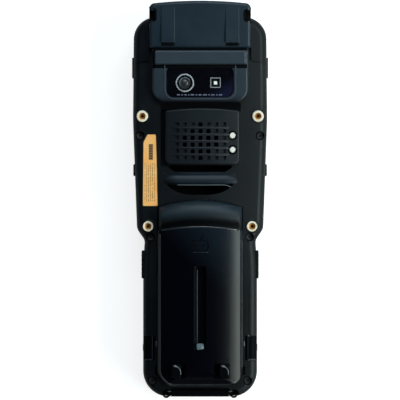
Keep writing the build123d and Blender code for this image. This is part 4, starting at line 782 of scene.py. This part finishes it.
def makeCameraDetails():
    look = cameraFace
    half, bottom, top = look["rimHalf"], look["rimBottom"], look["rimTop"]
    corner = look["rimCorner"]
    row = [(-half, top), *arcRow((-half + corner, bottom + corner), corner, 180, 270, 8),
           *arcRow((half - corner, bottom + corner), corner, 270, 360, 8), (half, top)]
    beadPiece("window_rim", ("root", "bezel"), "visor", [atHeight(row, look["bezelTop"])], *look["rimBead"])
    ring, glass = look["ring"], look["glass"]
    row = arcRow(look["lens"], ring["radius"], *ring["arc"], 20)
    beadPiece("lens_inner_highlight", ("root", "lens_ring"), "paleMark", [atHeight(row, ring["z"])], *ring["bead"])
    bm = bmesh.new()
    place = Matrix.Translation((*look["lens"], glass["z"])) @ Matrix.Diagonal((1.0, 1.0, glass["flat"], 1.0))
    bmesh.ops.create_uvsphere(bm, u_segments=32, v_segments=18, radius=glass["radius"], matrix=place)
    finishPiece("lens_glass", bm, "root", "lens", "lens")
    x, blocks = look["dashX"], []
    (y0, y1), (z0, z1) = look["dashY"], look["dashZ"]
    for length in look["dashes"]:
        blocks.append(((x, y0, z0), (x + length, y1, z1)))
        x += length + look["dashGap"]
    blockPiece("window_dashes", ("root", "window"), "dashPrint", blocks, look["dashRound"])


# Black strips round the visor: painted shadow under its lower side and over its left end, and a dark gap along
# its upper side
visorShadowAndGapLook = {"strips": (((-0.0236, 0.0656, 0.0266), (0.0235, 0.0677, 0.02748)),
                         ((-0.0238, 0.0656, 0.0262), (-0.0226, 0.0746, 0.02748)),
                         ((-0.0236, 0.0744, 0.0262), (0.0236, 0.0755, 0.02748))),
              "stripRound": (0.0004, 0.00015, 4, 2),
              "endCap": ((-0.0235, 0.0671, 0.027), (-0.0221, 0.0746, 0.02898), 0.0006, 0.0006, 4, 4)}


def makeVisorShadowAndGap():
    bm = bmesh.new()
    for low, high in visorShadowAndGapLook["strips"]:
        roundedBlock(bm, low, high, *visorShadowAndGapLook["stripRound"])
    roundedBlock(bm, *visorShadowAndGapLook["endCap"])
    finishPiece("visor_shadow_and_gap", bm, "root", "bezel", "blackRubber")


# Speaker: black strips above and left of the grille as painted shadow, raised slats between its rows of holes,
# dark rings round the contact pins as painted shadow
grilleLook = {"top": 0.0266, "x": (-0.0139, 0.0141), "y": 0.0292, "pitch": 0.00336, "rows": 5,
              "slat": (0.00046, 0.28), "wells": ((0.01625, 0.0321), (0.01625, 0.025)),
              "well": ((0.00172, 0.02655), (0.00242, 0.02665), 0.0003),
              "shadowStrips": (((-0.0197, 0.044, 0.02398), (0.0204, 0.0487, 0.0241)),
                         ((-0.0197, 0.0166, 0.02398), (-0.0165, 0.045, 0.0241))),
              "shadowStripRound": (0.0008, 0.00005, 4, 1)}


def makeSpeakerDetails():
    look = grilleLook
    blockPiece("speaker_painted_shadow", ("root", "speaker"), "blackRubber", look["shadowStrips"], look["shadowStripRound"])
    rows = [[(x, y, look["top"]) for x in look["x"]] for y in centred(look["y"], look["pitch"], look["rows"])]
    beadPiece("grille_slats", ("root", "grille"), "grille", rows, *look["slat"])
    bm = bmesh.new()
    for centre in look["wells"]:
        addWasher(bm, centre, *look["well"])
    finishPiece("contact_wells", bm, "root", "grille", "blackRubber")


# Inserts: an amber countersink inside each bright ring, a dark ring round it as painted shadow and a collar on
# the lower two
insertLook = {"at": ((0.02895, 0.04175, 0.0036), (0.026, -0.0133, 0.0033)),
              "bore": dict(radius1=0.00062, radius2=0.00128, depth=0.001), "boreZ": 0.0236, "wall": 0.00008,
              "flare": ((0.00122, 0.02426), (0.0017, 0.02453), 0.00006), "seatInner": 0.00285, "seatZ": 0.02404,
              "seatThick": 0.0001, "collar": ((0.00262, 0.02453), (0.003, 0.0241), 0.00008)}


def makeInsertDetails():
    look = insertLook
    places = [(side * x, y, seat) for x, y, seat in look["at"] for side in (1, -1)]
    bm = bmesh.new()
    for x, y, seat in places:
        cone = bmesh.ops.create_cone(bm, cap_ends=False, segments=32, **look["bore"],
                                     matrix=Matrix.Translation((x, y, look["boreZ"])))["verts"]
        walls = list({f for v in cone for f in v.link_faces})
        bmesh.ops.solidify(bm, geom=walls, thickness=look["wall"])
        addWasher(bm, (x, y), *look["flare"])
    finishPiece("insert_countersinks", bm, "root", "insert", "amberBore", 60.0)
    bm = bmesh.new()
    z = look["seatZ"]
    for x, y, seat in places:
        addWasher(bm, (x, y), (look["seatInner"], z), (seat, z), look["seatThick"])
        if y < 0.0:
            addWasher(bm, (x, y), *look["collar"])
    finishPiece("insert_seats", bm, "root", "housing", "blackRubber")


# Strap bar: a rounded bar whose ends run out into the back, with a painted highlight along a lip on its lower
# side
strapLook = {"half": 0.0184, "straight": 0.0125, "upper": 0.01385, "lower": 0.00765, "crestY": 0.0087,
             "crest": 0.0249, "round": 0.0063, "endDrop": 0.0008, "endPower": 1.6, "narrow": 0.0008,
             "narrowLow": 0.4, "frontFall": 0.85 / 0.00105, "under": 0.0205, "underHalf": 0.0163, "rest": 0.02392,
             "clear": 0.00004, "lip": 0.00019, "lipZ": 0.024,
             "lipRow": ((-0.0112, 0.0074), (0.0, 0.00735), (0.0118, 0.0074), (0.0136, 0.0071), (0.0154, 0.0064))}
# Its slot: black lining as painted shade in its depths, and lips that reach past each long edge by more toward
# the corners
slotLook = {"half": 0.01645, "y": (0.0024, 0.0173), "z": (0.01448, 0.0234), "wall": 0.0003, "inset": 0.002,
            "round": (0.0001, 0.00005, 2, 1), "lips": ((0.0023, 0.005, 3), (0.0126, 0.0042, 4)),
            "least": 0.00004, "lipHalf": 0.0166, "lipTop": 0.02402, "lipThick": 0.0009}


def strapProfile(share, out):
    look = strapLook
    squeeze = look["narrow"] * out * out
    lower = look["lower"] + squeeze * look["narrowLow"]
    y = lower + (look["upper"] - squeeze - lower) * share
    past = max(0.0, y - look["crestY"])
    front = max(0.0, look["crestY"] - y)
    fall = look["round"] - sqrt(max(0.0, look["round"] ** 2 - past ** 2))
    fall += look["frontFall"] * front ** 2 + look["endDrop"] * out ** look["endPower"]
    return y, look["crest"] - fall


def makeStrapBar():
    look = strapLook
    bm = bmesh.new()
    bmesh.ops.create_grid(bm, x_segments=64, y_segments=24, size=1.0)
    for v in bm.verts:
        x = v.co.x * look["half"]
        out = max(0.0, (abs(x) - look["straight"]) / (look["half"] - look["straight"]))
        y, z = strapProfile((v.co.y + 1) / 2, out)
        v.co = (x, y, max(z, look["rest"] + look["clear"]))
    closeBelow(bm, lambda x: look["under"] if abs(x) < look["underHalf"] else look["rest"])
    bar = finishPiece("strap_bar_round", bm, "root", "strap_bar", "strap_bar", 50.0)
    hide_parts("strap_bar")
    beadPiece("strap_bar_lip_highlight", ("root", "strap_bar"), "paleMark", [atHeight(look["lipRow"], look["lipZ"])],
              look["lip"])


def makeStrapSlot():
    look = slotLook
    half, wall = look["half"], look["wall"]
    (y0, y1), (z0, z1) = look["y"], look["z"]
    short = half - look["inset"]
    blocks = (((-half, y0, z0), (half, y1, z0 + wall)), ((-short, y0, z0), (short, y0 + wall, z1)),
              ((-short, y1 - wall, z0), (short, y1, z1)))
    blockPiece("strap_slot_lining", ("root", "housing"), "blackRubber", blocks, look["round"])
    bm = bmesh.new()
    for edge, reach, power in look["lips"]:
        fresh = bmesh.ops.create_grid(bm, x_segments=60, y_segments=2, size=1.0)["verts"]
        for v in fresh:
            depth = reach * abs(v.co.x) ** power + look["least"]
            v.co = (v.co.x * look["lipHalf"], edge + (v.co.y + 1) / 2 * depth, look["lipTop"])
        faces = list({f for v in fresh for f in v.link_faces})
        bmesh.ops.solidify(bm, geom=faces, thickness=look["lipThick"])
    finishPiece("strap_slot_lips", bm, "root", "housing", "housing")


# Battery cover: its top is an arch across
domeLook = {"crown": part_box("battery_cover")[1].z, "radius": 0.0464}


def domeHeight(x):
    return domeLook["crown"] - domeLook["radius"] + sqrt(domeLook["radius"] ** 2 - x ** 2)


def onDome(row, rise):
    return [(x, y, domeHeight(x) + rise) for x, y in row]


# The roll: a cushion over the upper end of the cover that runs down into the valley before its arched top, with a
# fine painted highlight line along its upper side and a painted highlight along the edge where the arch starts
rollLook = {"half": 0.0208, "turn": 0.0645, "front": -0.00025, "crossRadius": 0.16, "crestAt": 0.0078,
            "base": 0.0251, "rise": 0.0055, "power": 2.0, "valley": 0.0281, "shoulder": 0.0192, "endDrop": 0.0034,
            "under": 0.0242, "overlap": 0.0003, "clear": 0.00012, "clearTo": -0.0105, "crowd": 0.25,
            "crowdY": 1.4, "lineAt": 0.1, "lineReach": 0.0165, "lineBead": (0.00014, 0.5, 8),
            "edgeTurn": 0.1139, "edgeY": -0.01365, "edgeReach": 0.019, "edgeBead": (0.00045, 0.6),
            "edgeSink": -0.0001}


def edgeLine(x):
    return rollLook["edgeY"] - rollLook["edgeTurn"] + sqrt(rollLook["edgeTurn"] ** 2 - x * x)


def rollSurface(x, share):
    look = rollLook
    front = look["front"] - look["turn"] + sqrt(look["turn"] ** 2 - x * x)
    y = front + (edgeLine(x) + look["overlap"] - front) * share
    full = look["front"] - look["edgeY"]
    t, crestAt, valley = share * full, look["crestAt"], look["valley"]
    crest = look["base"] + look["rise"]
    if t < crestAt:
        z = look["base"] + look["rise"] * sqrt(max(0.0, 1.0 - (1.0 - t / crestAt) ** look["power"]))
    else:
        z = valley + (crest - valley) * (0.5 + 0.5 * cos(pi * (t - crestAt) / (full - crestAt)))
    z -= look["crossRadius"] - sqrt(look["crossRadius"] ** 2 - x * x)
    past = max(0.0, (abs(x) - look["shoulder"]) / (look["half"] - look["shoulder"]))
    return y, z - look["endDrop"] * (1.0 - sqrt(max(0.0, 1.0 - past * past)))


# The roll's height where the cover's own skin would come through it
def clearOfCover(x, y, z):
    return max(z, skinHeight("battery_cover", x, y) + rollLook["clear"])


def makeRoll():
    look = rollLook
    home = ("battery_pack", "pack_cover")
    crowd = look["crowd"]
    bm = bmesh.new()
    bmesh.ops.create_grid(bm, x_segments=84, y_segments=44, size=1.0)
    for v in bm.verts:
        x = look["half"] * ((1 + crowd) * v.co.x - crowd * v.co.x ** 3)
        y, z = rollSurface(x, ((v.co.y + 1) / 2) ** look["crowdY"])
        v.co = (x, y, z if y < look["clearTo"] else clearOfCover(x, y, z))
    closeBelow(bm, lambda x: look["under"])
    finishPiece("battery_roll", bm, *home, "rollPlastic", 50.0)
    row = []
    for x in spaced(-look["lineReach"], look["lineReach"], 32):
        y, z = rollSurface(x, look["lineAt"])
        row.append((x, y, clearOfCover(x, y, z)))
    beadPiece("battery_roll_line", home, "edgeSheen", [row], *look["lineBead"])
    row = [(x, edgeLine(x)) for x in spaced(-look["edgeReach"], look["edgeReach"], 24)]
    beadPiece("battery_front_edge", home, "shinyEdge", [onDome(row, look["edgeSink"])], *look["edgeBead"])


# Painted highlight lines round the cover: down its left side, round its lower corners and down its right side
outlineLook = {"x": -0.02, "top": -0.0175, "corner": (0.0125, -0.0848), "radius": 0.0075, "rightX": 0.0208,
               "rightY": (-0.018, -0.0835), "left": (0.0007, 0.25), "below": (0.0003, 0.6),
               "right": (0.0003, 0.9)}


def makeOutline():
    look = outlineLook
    (cornerX, cornerY), radius = look["corner"], look["radius"]
    left = [(look["x"], y) for y in spaced(look["top"], cornerY, 30)]
    left += arcRow((-cornerX, cornerY), radius, 186, 270, 14)
    below = [(x, cornerY - radius) for x in spaced(-cornerX, cornerX, 24)]
    below += arcRow((cornerX, cornerY), radius, 276, 312, 6)
    right = [(look["rightX"], y) for y in spaced(*look["rightY"], 30)]
    for label, row, material in (("left", left, "edgeSheen"), ("below", below, "shinyEdge"),
                                 ("right", right, "shinyEdge")):
        beadPiece("battery_outline_" + label, ("battery_pack", "pack_cover"), material,
                  [onSkin("battery_cover", row)], *look[label])


# Plain battery sign: a box with its nub, a bolt above, two dashes inside and a line below
signLook = {"x": (-0.0038, 0.0039), "y": (-0.0254, -0.0204), "under": -0.0262, "bead": (0.0002, 0.8, 8),
            "rise": 0.00002,
            "strokes": (((0.0044, -0.022), (0.0044, -0.0238)),
                        ((0.0019, -0.0172), (0.0006, -0.0187), (0.0014, -0.0187), (0.0003, -0.0201)),
                        ((-0.0026, -0.0229), (-0.001, -0.0229)), ((0.001, -0.0229), (0.0026, -0.0229)))}
# Its channel: two painted highlight edges, and a stop painted pale as a highlight, whose top is cut on a slope
channelLook = {"edges": ((-0.00305, 0.03262), (-0.0015, 0.03113)), "y": (-0.035, -0.0712), "bead": 0.00024,
               "stop": ((-0.0018, -0.076, 0.0311), (0.0018, -0.0717, 0.0336), 0.0009, 0.0005, 5, 3),
               "cutAt": (0.0, -0.0738, 0.0334), "cutSlope": (0.1, 0.12, 1.0)}


def makeBatteryDetails():
    home = ("battery_pack", "pack_cover")
    makeRoll()
    makeOutline()
    x0, x1 = signLook["x"]
    y0, y1 = signLook["y"]
    outline = [(x0, y0), (x1, y0), (x1, y1), (x0, y1), (x0, y0)]
    rows = [list(zip(spaced(a[0], b[0], 6), spaced(a[1], b[1], 6))) for a, b in zip(outline, outline[1:])]
    beadPiece("battery_sign", home, "blackRubber",
              [onDome(row, signLook["rise"]) for row in (*rows, *signLook["strokes"])], *signLook["bead"])
    row = [(x, signLook["under"]) for x in spaced(x0, x1, 8)]
    beadPiece("battery_sign_line", home, "bezel", [onDome(row, signLook["rise"])], *signLook["bead"])
    rows = [[(x, y, z) for y in channelLook["y"]] for x, z in channelLook["edges"]]
    beadPiece("channel_edges", home, "shinyEdge", rows, channelLook["bead"])
    bm = bmesh.new()
    roundedBlock(bm, *channelLook["stop"])
    bmesh.ops.bisect_plane(bm, geom=bm.verts[:] + bm.edges[:] + bm.faces[:], plane_co=channelLook["cutAt"],
                           plane_no=channelLook["cutSlope"], clear_outer=True)
    bmesh.ops.holes_fill(bm, edges=bm.edges)
    finishPiece("channel_stop", bm, *home, "channelStopPlastic")


# Latches: a painted highlight crescent on each thumb
latchLook = {"x": 0.0119, "shift": -0.0011, "y": -0.0862, "z": 0.03313, "radius": 0.0033, "arc": (96, -18),
             "bead": (0.00027, 0.7), "swell": (0.5, 1.5, 1.9, 1.7, 1.2, *[0.8] * 8, 0.6, 0.4)}


def makeLatchDetails():
    look = latchLook
    for label, side in sides:
        centre = (side * look["x"] + look["shift"], look["y"])
        row = arcRow(centre, look["radius"], *look["arc"], 14)
        beadPiece("latch_highlight_crescent_" + label, ("latch_" + label, "latch"), "paleMark",
                  [atHeight(row, look["z"])], *look["bead"], 10, look["swell"])


# Housing: ridges down the grip and at its lower left corner, short ridges across the head, guide nibs by the pack
sideLook = {"gripX": (0.0232, 0.0248), "gripY": (-0.045, -0.0665), "bead": 0.00018, "cornerX": (-0.0262, -0.028),
            "cornerY": -0.0835, "cornerPitch": 0.0014, "corners": 4, "headX": (0.0268, 0.0317),
            "headY": (0.047, 0.0456), "headBead": (0.0002, 0.6), "nibX": (0.0217, 0.02228),
            "nibY": (-0.0733, -0.0708), "nibAt": -0.072, "nibZ": (-0.0002, 0.0005),
            "nibRound": (0.0002, 0.0002, 3, 3)}


def makeSideDetails():
    look = sideLook
    home, skin = ("root", "housing"), "rear_housing"
    rows = [[(side * x, y) for y in spaced(*look["gripY"], 8)] for side in (1, -1) for x in look["gripX"]]
    rows += [[(x, look["cornerY"] - i * look["cornerPitch"]) for x in spaced(*look["cornerX"], 4)]
             for i in range(look["corners"])]
    beadPiece("grip_ridges", home, "housing", [onSkin(skin, row) for row in rows], look["bead"])
    rows = [[(side * x, y) for x in spaced(*look["headX"], 8)] for side in (1, -1) for y in look["headY"]]
    beadPiece("head_ridges", home, "housing", [onSkin(skin, row) for row in rows], *look["headBead"])
    (x0, x1), (y0, y1), (z0, z1) = look["nibX"], look["nibY"], look["nibZ"]
    nibs = []
    for side in (1, -1):
        z = skinHeight(skin, side * (x0 + x1) / 2, look["nibAt"])
        nibs.append(sideBlock(side, (x0, y0, z + z0), (x1, y1, z + z1)))
    blockPiece("pack_guides", home, "paleMark", nibs, look["nibRound"])


# Strap lugs: a dark grommet rims each eye
lugLook = {"x": 0.0169, "y": -0.0975, "top": 0.01956, "eye": 0.0009, "flange": 0.00135, "thick": 0.0007}


def makeLugDetails():
    look = lugLook
    bm = bmesh.new()
    for side in (1, -1):
        addWasher(bm, (side * look["x"], look["y"]), (look["eye"], look["top"]),
                  (look["flange"], look["top"]), look["thick"], 32)
    finishPiece("lug_grommets", bm, "root", "lug", "blackRubber")


# Port covers: a raised line along two edges, painted pale as a highlight; end cover: ribs
coverLook = {"y": (-0.0799, -0.0684), "x": (0.024, 0.0276), "line": (0.00024, 0.45),
             "ribY": (-0.0966, -0.0974, -0.0981), "ribX": 0.0136, "rib": (0.0002, 0.45)}


def makeCoverDetails():
    look = coverLook
    (x0, x1), (y0, y1) = look["x"], look["y"]
    for label, side in sides:
        node = "port_cover_" + label
        low = [(side * x, y0) for x in spaced(x0, x1, 6)]
        inner = [(side * x0, y) for y in spaced(y0, y1, 6)]
        beadPiece("port_cover_highlight_line_" + label, (node, "port_cover"), "visor",
                  [onSkin(node, row) for row in (low, inner)], *look["line"])
    xs = spaced(-look["ribX"], look["ribX"], 10)
    beadPiece("end_cover_ribs", ("end_cover", "port_cover"), "port_cover",
              [onSkin("end_cover", [(x, y) for x in xs]) for y in look["ribY"]], *look["rib"])


# Grip keys: finger ribs on their outer faces
gripLook = {"y": -0.0324, "pitch": 0.0022, "count": 5, "z": (0.0158, 0.0206), "bead": 0.00022, "sink": 0.00005}


def makeGripKeyDetails():
    look = gripLook
    for label, side in sides:
        node = "grip_key_" + label
        low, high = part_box(node)
        x = (high.x if side > 0 else low.x) - side * look["sink"]
        rows = [[(x, y, z) for z in look["z"]] for y in centred(look["y"], look["pitch"], look["count"])]
        beadPiece("grip_key_ribs_" + label, (node, "rubber_key"), "rubber_key", rows, look["bead"])


# Front keys: numerals and arrow marks, read from the front
frontLook = {"marks": "123456789*0#", "size": 0.0052, "face": 0.0005, "thickness": 0.00008, "nav": (0.0, -0.0205),
             "arrowOut": 0.0066, "arrow": dict(radius1=0.0011, radius2=0.001, depth=0.00012)}


def addNumeral(bm, text, x, y):
    curve = bpy.data.curves.new("numeral", "FONT")
    curve.body = text
    curve.size = frontLook["size"]
    curve.align_x = "CENTER"
    curve.align_y = "CENTER"
    curve.extrude = frontLook["thickness"] / 2
    curve.resolution_u = 6
    maker = bpy.data.objects.new("numeral", curve)
    mesh = bpy.data.meshes.new_from_object(maker)
    mesh.transform(Matrix.Translation((x, y, frontLook["face"])) @ Matrix.Rotation(pi, 4, "Y"))
    bm.from_mesh(mesh)
    bpy.data.meshes.remove(mesh)
    bpy.data.objects.remove(maker)
    bpy.data.curves.remove(curve)


def makeFrontDetails():
    look = frontLook
    for i, text in enumerate(look["marks"]):
        node = "key_%02d" % (i + 1)
        low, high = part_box(node)
        bm = bmesh.new()
        addNumeral(bm, text, (low.x + high.x) / 2, (low.y + high.y) / 2)
        finishPiece("numeral_%02d" % (i + 1), bm, node, "front_key", "keyPrint", 30.0)
    bm = bmesh.new()
    middle = Matrix.Translation((*look["nav"], look["face"]))
    out = Matrix.Translation((0.0, look["arrowOut"], 0.0)) @ Matrix.Rotation(radians(30), 4, "Z")
    for turn in (0, 90, 180, 270):
        bmesh.ops.create_cone(bm, cap_ends=True, segments=3, **look["arrow"],
                              matrix=middle @ Matrix.Rotation(radians(turn), 4, "Z") @ out)
    finishPiece("nav_arrows", bm, "nav_key", "front_key", "keyPrint", 30.0)


makeCapDetails()
makeCameraDetails()
makeVisorShadowAndGap()
makeSpeakerDetails()
makeInsertDetails()
makeStrapBar()
makeStrapSlot()
print("cap, camera, speaker and strap details ready")
makeBatteryDetails()
makeLatchDetails()
makeSideDetails()
makeLugDetails()
makeCoverDetails()
makeGripKeyDetails()
makeFrontDetails()
print("battery, cover and key details ready")
